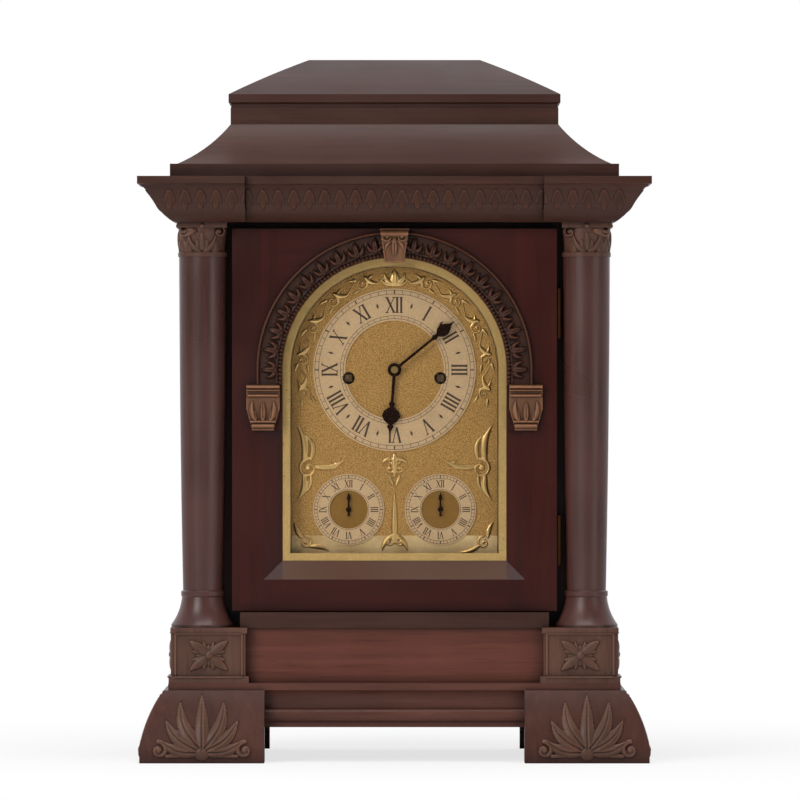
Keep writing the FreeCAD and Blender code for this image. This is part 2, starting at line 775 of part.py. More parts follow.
def back_frame():
    outline = rectangle(-S.case_half_width, S.case_half_width, floor_high, S.case_top)
    half = S.back_opening_half
    opening = rectangle(-half, half, S.back_opening_low, S.back_opening_high)
    frame = prism("back_frame", "XZ", outline, back_inner, S.back_plane, openings=[opening])
    node(frame, "back_frame")


def top_board():
    inner = S.case_half_width - S.side_thick
    high = (S.case_top - S.top_board_thick, S.case_top)
    node(box("top_board", both_ways(inner), (front_back, back_inner), high), "top_board")


def columns():
    for word, side in (("left", -1), ("right", 1)):
        shaft_low = S.column_foot_height + 5
        outline = [
            (ZERO, ZERO),
            (S.column_foot_radius, ZERO),
            (S.column_foot_radius, S.column_foot_height / 11),
            Bend(S.column_low_radius + 3, S.column_foot_height / 1.8),
            (S.column_low_radius + 0.8, S.column_foot_height),
            (S.column_ring_radius, S.column_foot_height + 1),
            (S.column_ring_radius, shaft_low - 1),
            (S.column_low_radius, shaft_low),
            Bend(S.column_waist_radius, (shaft_low + S.column_top - column_low) / 2),
            (S.column_high_radius, S.column_top - column_low),
            (ZERO, S.column_top - column_low),
        ]
        column = turned(f"{word}_column", outline)
        place(column, column_x * side, -S.column_front, column_low)
        node(column, f"{word}_column")


def capital(side):
    """The flared head of a column under its square slab."""
    word = "left" if side < 0 else "right"
    slab_low = S.case_top - S.abacus_thick
    tall = slab_low - S.column_top
    outline = [
        (ZERO, ZERO),
        (S.column_high_radius + 0.7, ZERO),
        (S.column_high_radius + 0.7, tall / 7),
        (S.column_high_radius - 0.8, tall / 5),
        Bend(S.column_high_radius - 0.5, tall / 1.8),
        (S.capital_radius, tall / 1.15),
        (S.capital_radius, tall),
        (ZERO, tall),
    ]
    bell = place(
        turned(f"{word}_capital_bell", outline), column_x * side, -S.column_front, S.column_top
    )
    half = S.abacus_half_width
    middle = column_x * side
    slab = box(
        f"{word}_abacus",
        (middle - half, middle + half),
        (-S.column_front - half, half - S.column_front),
        (slab_low, S.case_top),
    )
    return union(f"{word}_capital", [bell, slab])


def capitals():
    node(group("column_capitals", [capital(-1), capital(1)]), "column_capitals")


# --- cornice and roof -----------------------------------------------------


def cornice_profile(tip, sign, inner):
    """The leaning face of the cornice, out to its upright edge."""
    low = S.case_top
    edge_low = cornice_high - S.cornice_edge
    foot_u = tip - S.cornice_reach
    return [
        (inner * sign, low),
        (foot_u * sign, low),
        Bend((foot_u + S.cornice_reach * 0.19) * sign, low + 3),
        ((foot_u + S.cornice_reach * 0.49) * sign, low + S.cornice_height * 0.4),
        Bend((foot_u + S.cornice_reach * 0.69) * sign, low + S.cornice_height * 0.63),
        ((tip - 2) * sign, edge_low - 0.5),
        (tip * sign, edge_low),
        (tip * sign, cornice_high),
        (inner * sign, cornice_high),
    ]


def cornice():
    """The main run steps back between two corner blocks over the columns."""
    main_tip = cornice_half - S.cornice_step
    main_front = S.cornice_front - S.cornice_step
    runs = []
    across = cornice_profile(main_tip, 1, ZERO)[1:-1]
    mirrored = cornice_profile(main_tip, -1, ZERO)[1:-1]
    main_across = across + mirrored[::-1]
    main_along = cornice_profile(main_front, -1, -S.back_plane)
    runs.append(
        overlap(
            "cornice_main",
            [
                prism("cornice_across", "XZ", main_across, -S.cornice_front, S.back_plane),
                prism("cornice_along", "YZ", main_along, *both_ways(cornice_half)),
            ],
        )
    )
    for word, side in (("left", -1), ("right", 1)):
        corner_across = cornice_profile(cornice_half, side, cornice_break)
        corner_along = cornice_profile(S.cornice_front, -1, S.cornice_side_break)
        reach = sorted_pair(cornice_break * side, cornice_half * side)
        runs.append(
            overlap(
                f"cornice_{word}_corner",
                [
                    prism(
                        f"corner_{word}_across",
                        "XZ",
                        corner_across,
                        -S.cornice_front,
                        -S.cornice_side_break,
                    ),
                    prism(f"corner_{word}_along", "YZ", corner_along, *reach),
                ],
            )
        )
    whole = union("cornice_whole", runs)
    hollow_half = S.case_half_width - S.cornice_wall
    hollow = box(
        "cornice_hollow",
        both_ways(hollow_half),
        (front_back + S.front_thick, back_inner - S.front_thick),
        (S.case_top - 1, cornice_high + 1),
    )
    node(cut("cornice", whole, [hollow]), "cornice")


roof_middle = (S.back_plane - (S.cornice_front - (cornice_half - roof_half))) / 2
roof_half_depth = S.back_plane - roof_middle


def roof_side(half, outer_half, sign, middle):
    """One edge of the roof seen square on; half is its reach at the ledge."""
    top = outer_half - (roof_half - cove_top_half)
    lip = half - S.roof_cove_lip
    sag_u = (lip + top) / 2
    sag_v = cove_low + S.roof_cove_height / 2 - S.roof_cove_sag
    return [
        (middle + half * sign, cornice_high),
        (middle + half * sign, cove_low),
        (middle + lip * sign, cove_low),
        Bend(middle + sag_u * sign, sag_v),
        (middle + top * sign, neck_low),
        (middle + top * sign, cap_low),
    ]


def roof_cove():
    """The hollow-sided roof and its neck, with a space inside."""
    blocks = []
    for plane, half, middle in (
        ("XZ", roof_half, ZERO),
        ("YZ", roof_half_depth, roof_middle),
    ):
        right = roof_side(half, half, 1, middle)
        left = roof_side(half, half, -1, middle)
        reach = roof_half
        blocks.append(prism(f"roof_{plane}", plane, right + left[::-1], -reach, reach))
    whole = overlap("roof_whole", blocks)
    hollow = box(
        "roof_space",
        both_ways(roof_half - S.roof_wall),
        (roof_middle - (roof_half_depth - S.roof_wall), roof_middle + (roof_half_depth - S.roof_wall)),
        (cornice_high - 1, cornice_high + S.roof_hollow),
    )
    node(cut("roof_cove", whole, [hollow]), "roof_cove")


def cap_side(half, sign, middle):
    """One edge of the cap: a small hollow under its edge, then the long slope."""
    neck = half - (cap_half - cove_top_half)
    top = half - (cap_half - cap_top_half)
    edge_low = cap_low + S.cap_edge * 0.4
    swell_u = (half + top) / 2 + S.cap_swell / 3
    swell_v = (slope_low + roof_high) / 2 + S.cap_swell
    return [
        (middle + neck * sign, cap_low),
        Bend(middle + (neck - 0.6) * sign, cap_low + S.cap_edge * 0.22),
        (middle + half * sign, edge_low),
        (middle + half * sign, slope_low),
        Bend(middle + swell_u * sign, swell_v),
        (middle + top * sign, roof_high),
    ]


def roof_cap():
    blocks = []
    half_depth = roof_half_depth - (roof_half - cap_half)
    for plane, half, middle in (("XZ", cap_half, ZERO), ("YZ", half_depth, roof_middle)):
        right = cap_side(half, 1, middle)
        left = cap_side(half, -1, middle)
        reach = cap_half
        blocks.append(prism(f"cap_{plane}", plane, right + left[::-1], -reach, reach))
    node(overlap("roof_cap", blocks), "roof_cap")


feet()
base_moulding()
base_box()
pedestals()
floor_board()
side_panels()
front_frame()
back_frame()
top_board()
columns()
capitals()
cornice()
roof_cove()
roof_cap()


# --- front door -----------------------------------------------------------


def door_frame():
    """An oak frame with an arched opening, bevelled below the arch, rebated for its pane."""
    half = S.door_half_width
    outline = rectangle(-half, half, door_low, S.door_top)
    opening = arched(ZERO, S.sight_half_width, sight_sill, S.arch_height)
    board = prism(
        "door_board", "XZ", outline, -S.door_front, S.door_thick - S.door_front, openings=[opening]
    )
    lap = S.sight_half_width + S.glass_lap
    rebate_outline = arched(ZERO, lap, sight_sill - S.glass_lap, S.arch_height)
    rebate = prism(
        "door_rebate",
        "XZ",
        rebate_outline,
        S.glass_setback - S.door_front,
        S.door_thick - S.door_front + 1,
    )
    bevel = doc.addObject("Part::Wedge", "door_bevel")
    wide = S.sight_half_width + S.bevel_width
    limits = {
        "Xmin": -wide,
        "Xmax": wide,
        "Ymin": ZERO,
        "Ymax": S.bevel_depth,
        "Zmin": sight_sill - S.bevel_width,
        "Zmax": S.impost_top - S.impost_height,
        "X2min": -S.sight_half_width,
        "X2max": S.sight_half_width,
        "Z2min": sight_sill,
        "Z2max": S.impost_top - S.impost_height,
    }
    for name, size in limits.items():
        bind(bevel, name, size)
    place(bevel, ZERO, -S.door_front)
    node(cut("front_door_frame", board, [rebate, bevel]), "front_door_frame")


def half_ring(inner, outer, foot_height):
    """An arched band whose two legs stand on foot_height."""
    high = S.arch_height
    return [
        (inner, foot_height),
        (outer, foot_height),
        (outer, high),
        Bend(ZERO, high + outer),
        (-outer, high),
        (-outer, foot_height),
        (-inner, foot_height),
        (-inner, high),
        Bend(ZERO, high + inner),
        (inner, high),
    ]


def door_arch():
    """The carved band round the arch."""
    inner = S.sight_half_width
    outline = half_ring(inner, inner + S.arch_band, S.impost_top)
    front = -(S.door_front + S.arch_relief)
    node(prism("door_arch_band", "XZ", outline, front, -S.door_front), "door_arch_band")


def door_carvings():
    """The keystone over the arch and the carved blocks that the band stands on."""
    band_front = -(S.door_front + S.arch_relief)
    keystone = prism(
        "keystone",
        "XZ",
        [
            (-S.keystone_low_half, S.keystone_foot),
            (S.keystone_low_half, S.keystone_foot),
            (S.keystone_high_half, S.door_top),
            (-S.keystone_high_half, S.door_top),
        ],
        band_front - S.keystone_relief,
        band_front,
    )
    pieces = [keystone]
    inner = S.sight_half_width + 2
    outer = inner + S.impost_width
    low = S.impost_top - S.impost_height
    for word, side in (("left", -1), ("right", 1)):
        outline = [
            ((inner + S.impost_taper) * side, low),
            ((outer - S.impost_taper) * side, low),
            (outer * side, low + S.impost_height * 0.45),
            (outer * side, S.impost_top),
            (inner * side, S.impost_top),
            (inner * side, low + S.impost_height * 0.45),
        ]
        front = -(S.door_front + S.impost_relief)
        pieces.append(prism(f"impost_{word}", "XZ", outline, front, -S.door_front))
    node(group("door_carvings", pieces), "door_carvings")


def door_pane():
    lap = S.sight_half_width + S.glass_lap - S.glass_play
    sill = sight_sill - S.glass_lap + S.glass_play
    front = S.glass_setback - S.door_front
    outline = arched(ZERO, lap, sill, S.arch_height)
    node(prism("front_door_glass", "XZ", outline, front, front + S.glass_thick), "front_door_glass")


def sight_bead():
    """The brass bead just inside the opening, in front of the pane."""
    outer = S.sight_half_width - S.pin_play
    inner = S.sight_half_width - S.bead_width
    low = sight_sill + S.pin_play
    inner_low = sight_sill + S.bead_width
    back = S.glass_setback - S.door_front
    bead = prism(
        "door_bead",
        "XZ",
        arched(ZERO, outer, low, S.arch_height),
        back - S.bead_thick,
        back,
        openings=[arched(ZERO, inner, inner_low, S.arch_height)],
    )
    node(bead, "door_bead")


def hinge(name, axis_x, axis_y, middle, fixed_leaf, moving_leaf):
    """A three-knuckle hinge: the pin and outer knuckles stay with the case.

    fixed_leaf and moving_leaf give the planes (across, deep) of each leaf and
    of the tab that joins it to its knuckles.
    """
    low = middle - S.hinge_height / 2
    high = middle + S.hinge_height / 2
    third = S.hinge_height / 3
    pin = rod(name + "_pin", S.pin_radius, "Z", low, high, axis_x, axis_y)
    fixed = [pin]
    for word, start, end in (
        ("low", low, low + third - S.pin_play),
        ("high", high - third + S.pin_play, high),
    ):
        fixed.append(rod(f"{name}_{word}_knuckle", S.knuckle_radius, "Z", start, end, axis_x, axis_y))
        fixed.append(box(f"{name}_{word}_tab", *fixed_leaf["tab"], (start, end)))
    fixed.append(box(name + "_case_leaf", *fixed_leaf["leaf"], (low, high)))
    tab_span = (low + third + S.pin_play, high - third - S.pin_play)
    bore = rod(name + "_bore", S.pin_radius + S.pin_play, "Z", low, high, axis_x, axis_y)
    knuckle = rod(name + "_knuckle", S.knuckle_radius, "Z", *tab_span, axis_x, axis_y)
    tab = box(name + "_tab", *moving_leaf["tab"], tab_span)
    leaf = box(name + "_door_leaf", *moving_leaf["leaf"], (low, high))
    moving = cut(name + "_moving", union(name + "_moving_whole", [knuckle, tab, leaf]), [bore])
    return union(name + "_fixed", fixed), moving


def hinges():
    """Two hinges for each door: the case's halves share one node, each door has its own."""
    clear = S.knuckle_radius + 0.3
    axis_x = S.door_half_width + S.front_pivot_gap
    axis_y = -S.door_front
    case_leaf = (axis_x - S.leaf_thick, axis_x + S.leaf_thick)
    door_leaf = (S.door_half_width, S.door_half_width + S.leaf_thick)
    door_back = S.door_thick - S.door_front
    fixed_front = {
        "leaf": (case_leaf, (axis_y + clear, -S.front_face)),
        "tab": (case_leaf, (axis_y, axis_y + clear)),
    }
    moving_front = {
        "leaf": (door_leaf, (axis_y + clear, door_back)),
        "tab": ((S.door_half_width, axis_x), (axis_y + 1, axis_y + clear)),
    }
    case_halves = []
    front_halves = []
    for middle, word in ((S.front_hinge_low, "low"), (S.front_hinge_high, "high")):
        fixed, moving = hinge(
            f"front_hinge_{word}", axis_x, axis_y, middle, fixed_front, moving_front
        )
        case_halves.append(fixed)
        front_halves.append(moving)
    back_x = -(S.back_opening_half - S.back_door_gap / 2)
    back_y = S.back_plane + S.knuckle_radius
    leaf_deep = (S.back_plane, S.back_plane + S.leaf_thick)
    fixed_back = {
        "leaf": ((back_x - S.back_leaf_width, back_x - clear), leaf_deep),
        "tab": ((back_x - clear, back_x), (S.back_plane + 0.2, S.back_plane + S.leaf_thick)),
    }
    moving_back = {
        "leaf": ((back_x + clear, back_x + S.back_leaf_width), leaf_deep),
        "tab": ((back_x, back_x + clear), (S.back_plane + 0.2, S.back_plane + S.leaf_thick)),
    }
    back_halves = []
    for middle, word in ((S.back_hinge_low, "low"), (S.back_hinge_high, "high")):
        fixed, moving = hinge(f"back_hinge_{word}", back_x, back_y, middle, fixed_back, moving_back)
        case_halves.append(fixed)
        back_halves.append(moving)
    node(group("case_hinge_halves", case_halves), "case_hinge_halves")
    node(group("front_door_hinge_halves", front_halves), "front_door_hinge_halves")
    node(group("back_door_hinge_halves", back_halves), "back_door_hinge_halves")


# --- back door ------------------------------------------------------------


def back_door():
    half = S.back_opening_half - S.back_door_gap
    low = S.back_opening_low + S.back_door_gap
    high = S.back_opening_high - S.back_door_gap
    outline = rectangle(-half, half, low, high)
    sight = half - S.back_stile
    sill, head = low + S.back_stile, high - S.back_stile
    catch_x = half - S.catch_inset
    board = prism(
        "back_door_board",
        "XZ",
        outline,
        back_inner,
        S.back_plane,
        holes=[(catch_x, S.catch_height, S.catch_shaft_radius + S.pin_play)],
        openings=[rectangle(-sight, sight, sill, head)],
    )
    lap = S.glass_lap
    rebate = box(
        "back_rebate",
        both_ways(sight + lap),
        (back_inner - 1, back_inner + S.rebate_depth),
        (sill - lap, head + lap),
    )
    node(cut("back_door_frame", board, [rebate]), "back_door_frame")
    lap = S.glass_lap - S.glass_play
    pane = (back_inner + S.rebate_depth - S.glass_thick, back_inner + S.rebate_depth)
    node(
        box("back_door_glass", both_ways(sight + lap), pane, (sill - lap, head + lap)),
        "back_door_glass",
    )
    back_door_catch(catch_x)


def back_door_catch(catch_x):
    """A turned knob outside, a shaft through the door and a bar inside, standing upright."""
    reach = S.knob_reach
    shaft = S.catch_shaft_radius
    outline = [
        (ZERO, 0.3),
        (shaft + 1.5, 0.3),
        (shaft + 1, reach * 0.4),
        (S.knob_radius, reach * 0.5),
        (S.knob_radius, reach * 0.8),
        (S.knob_radius * 0.55, reach),
        (ZERO, reach),
    ]
    knob = facing_back(turned("catch_knob", outline), catch_x, S.back_plane, S.catch_height)
    inner = back_inner - 0.5
    stem = rod("catch_shaft", shaft, "Y", inner, S.back_plane + 1, catch_x, S.catch_height)
    half = S.catch_bar_width / 2
    bar = box(
        "catch_bar",
        (catch_x - half, catch_x + half),
        (inner - S.catch_bar_thick, inner),
        (S.catch_height - S.catch_bar_length, S.catch_height + half),
    )
    node(union("back_door_catch", [knob, stem, bar]), "back_door_catch")


# --- dial -----------------------------------------------------------------


def dial_plate():
    """The brass plate behind the dial's rings, with its four feet."""
    outline = arched(ZERO, S.dial_half_width, dial_sill, S.arch_height)
    winding = [(S.barrel_x * side, barrel_height, S.winding_hole_radius) for side in (-1, 1)]
    small = [
        (S.small_dial_x * side, S.small_dial_height, S.thin_arbor_radius + S.pin_play)
        for side in (-1, 1)
    ]
    centre = [(ZERO, S.arch_height, S.winding_hole_radius)]
    plate = prism("dial", "XZ", outline, dial_front, dial_back, holes=winding + small + centre)
    legs = []
    for side in (-1, 1):
        for height in (S.dial_foot_low, S.dial_foot_high):
            leg = rod(
                f"dial_foot_{len(legs)}",
                S.dial_foot_radius,
                "Y",
                dial_back,
                movement_front,
                S.dial_foot_x * side,
                height,
            )
            legs.append(leg)
    node(union("dial_plate", [plate, *legs]), "dial_plate")


def flat_ring(name, outer, inner, x, z):
    disc = rod(name + "_disc", outer, "Y", ring_front, dial_front, x, z)
    hole = rod(name + "_hole", inner, "Y", ring_front - 1, dial_front + 1, x, z)
    return cut(name, disc, [hole])


def dial_rings():
    """The hour ring, pierced where the winding squares pass its inner edge, and the small rings."""
    whole = flat_ring("hour_ring_whole", S.ring_outer, S.ring_inner, ZERO, S.arch_height)
    holes = [
        rod(
            f"hour_ring_hole_{word}",
            S.winding_hole_radius,
            "Y",
            ring_front - 1,
            dial_front + 1,
            S.barrel_x * side,
            barrel_height,
        )
        for word, side in (("left", -1), ("right", 1))
    ]
    node(cut("hour_ring", whole, holes), "hour_ring")
    small = [
        flat_ring(
            f"small_ring_{word}",
            S.small_outer,
            S.small_inner,
            S.small_dial_x * side,
            S.small_dial_height,
        )
        for word, side in (("left", -1), ("right", 1))
    ]
    node(group("small_dial_rings", small), "small_dial_rings")


def arc_ornament(name, first, last):
    """A curved ornament over the hour ring, between two angles from upright."""
    inner = S.spandrel_inner.value
    outer = S.spandrel_outer.value
    thick = S.spandrel_thick.value
    middle = (first + last) / 2

    def at(radius, degrees):
        angle = math.radians(degrees)
        return Vector(radius * math.sin(angle), 0, radius * math.cos(angle))

    edges = [
        Part.Arc(at(inner, first), at(inner, middle), at(inner, last)).toShape(),
        Part.LineSegment(at(inner, last), at(outer, last)).toShape(),
        Part.Arc(at(outer, last), at(outer, middle), at(outer, first)).toShape(),
        Part.LineSegment(at(outer, first), at(inner, first)).toShape(),
    ]
    face = Part.Face(Part.Wire(edges))
    solid = face.extrude(Vector(0, -thick, 0))
    return computed(name, solid, 0, dial_front.value, S.arch_height.value)


def dial_ornaments():
    """Cast ornaments screwed to the plate round the hour ring and between the small dials."""
    pieces = [
        arc_ornament(f"ornament_{number}", first, last)
        for number, (first, last) in enumerate(((-72, -12), (12, 72), (-118, -84), (84, 118)))
    ]
    low = dial_sill + S.mask_lap + 6
    middle = prism(
        "ornament_middle",
        "XZ",
        [
            (-(S.small_dial_x * 0.3), low),
            (S.small_dial_x * 0.3, low),
            (S.small_dial_x * 0.1, S.small_dial_height),
            (S.small_dial_x * 0.38, S.small_dial_height + S.small_outer),
            (ZERO, S.arch_height - S.ring_outer - 3),
            (-(S.small_dial_x * 0.38), S.small_dial_height + S.small_outer),
            (-(S.small_dial_x * 0.1), S.small_dial_height),
        ],
        dial_front - S.spandrel_thick,
        dial_front,
    )
    node(group("dial_ornaments", [*pieces, middle]), "dial_ornaments")


door_frame()
door_arch()
door_carvings()
door_pane()
sight_bead()
hinges()
back_door()
dial_plate()
dial_rings()
dial_ornaments()


# --- movement -------------------------------------------------------------


def centre_distance(mesh):
    return mesh["module"] * (mesh["wheel"] + mesh["pinion"]) / 2


def meeting(first, first_reach, second, second_reach, side):
    """The arbor that lies at two given distances from two others; side picks one of two."""
    across, up = second[0] - first[0], second[1] - first[1]
    apart = math.hypot(across, up)
    along = (first_reach**2 - second_reach**2 + apart**2) / (2 * apart)
    away = side * math.sqrt(first_reach**2 - along**2)
    unit = (across / apart, up / apart)
    return (
        first[0] + unit[0] * along - unit[1] * away,
        first[1] + unit[1] * along + unit[0] * away,
    )


def beside(centre, reach, degrees):
    angle = math.radians(degrees)
    return (centre[0] + reach * math.cos(angle), centre[1] + reach * math.sin(angle))


def direction(start, end):
    return math.atan2(end[1] - start[1], end[0] - start[0])


ESCAPE_TEETH = 35

centre_at = (0.0, S.arch_height.value)
going_at = (S.barrel_x.value, barrel_height.value)
strike_at = (-S.barrel_x.value, barrel_height.value)
escape_at = (0.0, escape_height.value)
pallet_at = (0.0, pallet_height.value)
second_at = meeting(going_at, centre_distance(GREAT), centre_at, centre_distance(SECOND), 1)
third_at = meeting(centre_at, centre_distance(CENTRE), escape_at, centre_distance(THIRD), -1)
minute_at = (0.0, centre_at[1] + centre_distance(CANNON))
pin_at = beside(strike_at, centre_distance(GREAT), 94)
warning_at = beside(pin_at, centre_distance(PIN), 110)
fly_at = beside(warning_at, centre_distance(WARNING), 20)
hammer_at = (-S.hammer_x.value, S.hammer_height.value)


def ring_of_points(radius, sides, first=0.0):
    return [
        Vector(
            radius * math.cos(first + 2 * math.pi * number / sides),
            0,
            radius * math.sin(first + 2 * math.pi * number / sides),
        )
        for number in range(sides)
    ]


def closed_wire(points):
    return Part.makePolygon(points + points[:1])


def tooth_points(count, module, phase, leaf):
    """The toothed edge of a wheel, or of a pinion when leaf is true."""
    pitch = module * count / 2
    quarter = math.pi / (2 * count)
    if leaf:
        corners = ((-1.25, 0.72), (0.0, 0.66), (0.55, 0.34))
    else:
        corners = ((-1.05, 0.95), (0.0, 0.80), (0.8, 0.28))
    points = []
    for number in range(count):
        middle = phase + 2 * math.pi * number / count
        profile = [(step, -share) for step, share in corners]
        profile += [(step, share) for step, share in reversed(corners)]
        for step, share in profile:
            radius = pitch + step * module
            angle = middle + share * quarter
            points.append(Vector(radius * math.cos(angle), 0, radius * math.sin(angle)))
    return points


def flat_bore(radius):
    """A twelve-sided hole that just clears a round arbor."""
    sides = 12
    return ring_of_points((radius + 0.02) / math.cos(math.pi / sides), sides)


def crossings(inner, outer, count=4, arm=0.16, steps=6):
    """The windows between the arms of a wheel."""
    windows = []
    for number in range(count):
        start = 2 * math.pi * number / count
        end = start + 2 * math.pi / count
        lead_out = arm * inner / outer
        rim = [
            start + lead_out + (end - start - 2 * lead_out) * step / steps for step in range(steps + 1)
        ]
        hub = [start + arm * 1.4, end - arm * 1.4]
        points = [Vector(outer * math.cos(a), 0, outer * math.sin(a)) for a in rim]
        points += [Vector(inner * math.cos(a), 0, inner * math.sin(a)) for a in reversed(hub)]
        windows.append(points)
    return windows


def slab(outer, holes, start, end):
    """A flat piece between two depths, with straight-sided holes."""
    wires = [closed_wire(outer)] + [closed_wire(hole) for hole in holes]
    face = Part.makeFace(wires, "Part::FaceMakerBullseye")
    face.translate(Vector(0, start, 0))
    return face.extrude(Vector(0, end - start, 0))


def wheel(mesh, phase, bore, start, end, crossed=True):
    outer = tooth_points(mesh["wheel"], mesh["module"], phase, False)
    holes = [flat_bore(bore)]
    root = mesh["module"] * (mesh["wheel"] / 2 - 1.05)
    if crossed:
        holes += crossings(bore + 2.2, root - 1.6)
    return slab(outer, holes, start, end)


def pinion(mesh, phase, bore, start, end):
    outer = tooth_points(mesh["pinion"], mesh["module"], phase, True)
    return slab(outer, [flat_bore(bore)], start, end)


def facing_gap(mesh, here, there):
    """The phase at which a pinion turns a gap towards the wheel that drives it."""
    return direction(here, there) + math.pi / mesh["pinion"]


def shaft(radius, start, end):
    return Part.makeCylinder(radius, end - start, Vector(0, start, 0), Vector(0, 1, 0))


def tube(outer, inner, start, end):
    return shaft(outer, start, end).cut(shaft(inner, start - 1, end + 1))


def on_arbor(name, shapes, at):
    """A wheel with its arbor, as separate solids in one node."""
    piece = computed(name, Part.makeCompound(shapes), at[0], 0, at[1])
    return node(piece, name)


plates_front = movement_front.value
plates_back = movement_back.value
thick_arbor = S.arbor_radius.value
thin_arbor = S.thin_arbor_radius.value
play = S.pin_play.value
inside_front = space_front.value
great_front = inside_front + 1.5
drum_front = great_front + 3
drum_back = drum_front + S.drum_length.value
second_front = drum_back + 3.5
centre_front = second_front + 6
third_front = centre_front + 5
escape_front = third_front + 4
cannon_back = plates_front - 1
hour_back = cannon_back - 4
hand_back = ring_front.value - S.hour_hand_gap.value
minute_back = hand_back - S.hand_thick.value - S.hand_gap.value


def barrel(word, at, target):
    """A spring barrel with its great wheel, its cover and the coiled spring inside."""
    bore = S.barrel_arbor_radius.value + play
    radius = S.drum_radius.value
    wall = S.drum_wall.value
    phase = direction(at, target)
    great = wheel(GREAT, phase, bore, great_front, drum_front, crossed=False)
    drum = shaft(radius, drum_front, drum_back)
    drum = drum.cut(shaft(radius - wall, drum_front - 1, drum_back - wall))
    drum = drum.cut(shaft(bore, drum_front, drum_back + 1))
    spring = tube(radius - wall, radius * 0.68, drum_front, drum_back - wall - 1)
    on_arbor(f"{word}_barrel", [great, drum, spring], at)


def square_points(side):
    half = side / 2
    return [Vector(-half, 0, -half), Vector(half, 0, -half), Vector(half, 0, half), Vector(-half, 0, half)]


def ratchet_points(radius, count=18):
    points = []
    for number in range(count):
        start = 2 * math.pi * number / count
        end = start + 2 * math.pi * 0.86 / count
        points.append(Vector(radius * 0.84 * math.cos(start), 0, radius * 0.84 * math.sin(start)))
        points.append(Vector(radius * math.cos(end), 0, radius * math.sin(end)))
    return points


def winding_arbor(word, at):
    """The arbor that a key turns: square in front, ratchet wheel, hook for the spring."""
    radius = S.barrel_arbor_radius.value
    ratchet_front = plates_front - 2.5
    square_front = dial_front.value - S.square_reach.value
    body = shaft(radius, ratchet_front, plates_back)
    square = slab(square_points(S.square_side.value), [], square_front, ratchet_front)
    core = tube(radius * 2, radius, drum_front + 2, drum_back - S.drum_wall.value - 2)
    ratchet = ratchet_points(S.ratchet_radius.value)
    teeth = slab(ratchet, [flat_bore(radius)], ratchet_front, ratchet_front + 2)
    on_arbor(f"{word}_winding_arbor", [body.fuse(square), core, teeth], at)


def going_train():
    """Second, centre, third and escape wheels, each on its own arbor."""
    second_pinion = pinion(
        GREAT, facing_gap(GREAT, second_at, going_at), thick_arbor, great_front - 0.5, drum_front + 0.5
    )
    second = wheel(
        SECOND, direction(second_at, centre_at), thick_arbor, second_front, second_front + 2
    )
    on_arbor(
        "second_wheel", [shaft(thick_arbor, plates_front, plates_back), second_pinion, second], second_at
    )
    centre_pinion = pinion(
        SECOND, facing_gap(SECOND, centre_at, second_at), thick_arbor, second_front - 0.5, second_front + 2.5
    )
    centre = wheel(
        CENTRE, direction(centre_at, third_at), thick_arbor, centre_front, centre_front + 1.5
    )
    hand_front = minute_back - S.hand_thick.value
    arbor = shaft(thick_arbor, hand_front - 2.5, plates_back)
    pipe = tube(thick_arbor + 0.7, thick_arbor, hand_front, cannon_back)
    cannon = pinion(
        CANNON, facing_gap(CANNON, centre_at, minute_at), thick_arbor + 0.7, cannon_back - 2, cannon_back
    )
    collet = tube(2.6, thick_arbor, hand_front - 2, hand_front)
    on_arbor("centre_wheel", [arbor, centre_pinion, centre, pipe, cannon, collet], centre_at)
    third_pinion = pinion(
        CENTRE, facing_gap(CENTRE, third_at, centre_at), thin_arbor, centre_front - 1, centre_front + 2.5
    )
    third = wheel(THIRD, direction(third_at, escape_at), thin_arbor, third_front, third_front + 1.2)
    on_arbor(
        "third_wheel", [shaft(thin_arbor, plates_front, plates_back), third_pinion, third], third_at
    )
    escape_pinion = pinion(
        THIRD, facing_gap(THIRD, escape_at, third_at), thin_arbor, third_front - 1, third_front + 2
    )
    on_arbor(
        "escape_wheel",
        [shaft(thin_arbor, plates_front, plates_back), escape_pinion, escape_disc()],
        escape_at,
    )


def escape_disc():
    """A wheel of pointed, leaning teeth."""
    step = 2 * math.pi / ESCAPE_TEETH
    tip = S.escape_radius.value
    root = tip * 0.85
    tooth = ((root, 0.0), (tip, 0.08), (tip, 0.16), (root, 0.6))
    points = []
    for number in range(ESCAPE_TEETH):
        for radius, turn in tooth:
            angle = (number + turn) * step
            points.append(Vector(radius * math.cos(angle), 0, radius * math.sin(angle)))
    holes = [flat_bore(thin_arbor)] + crossings(thin_arbor + 1.8, root - 1.2)
    return slab(points, holes, escape_front, escape_front + 1.2)


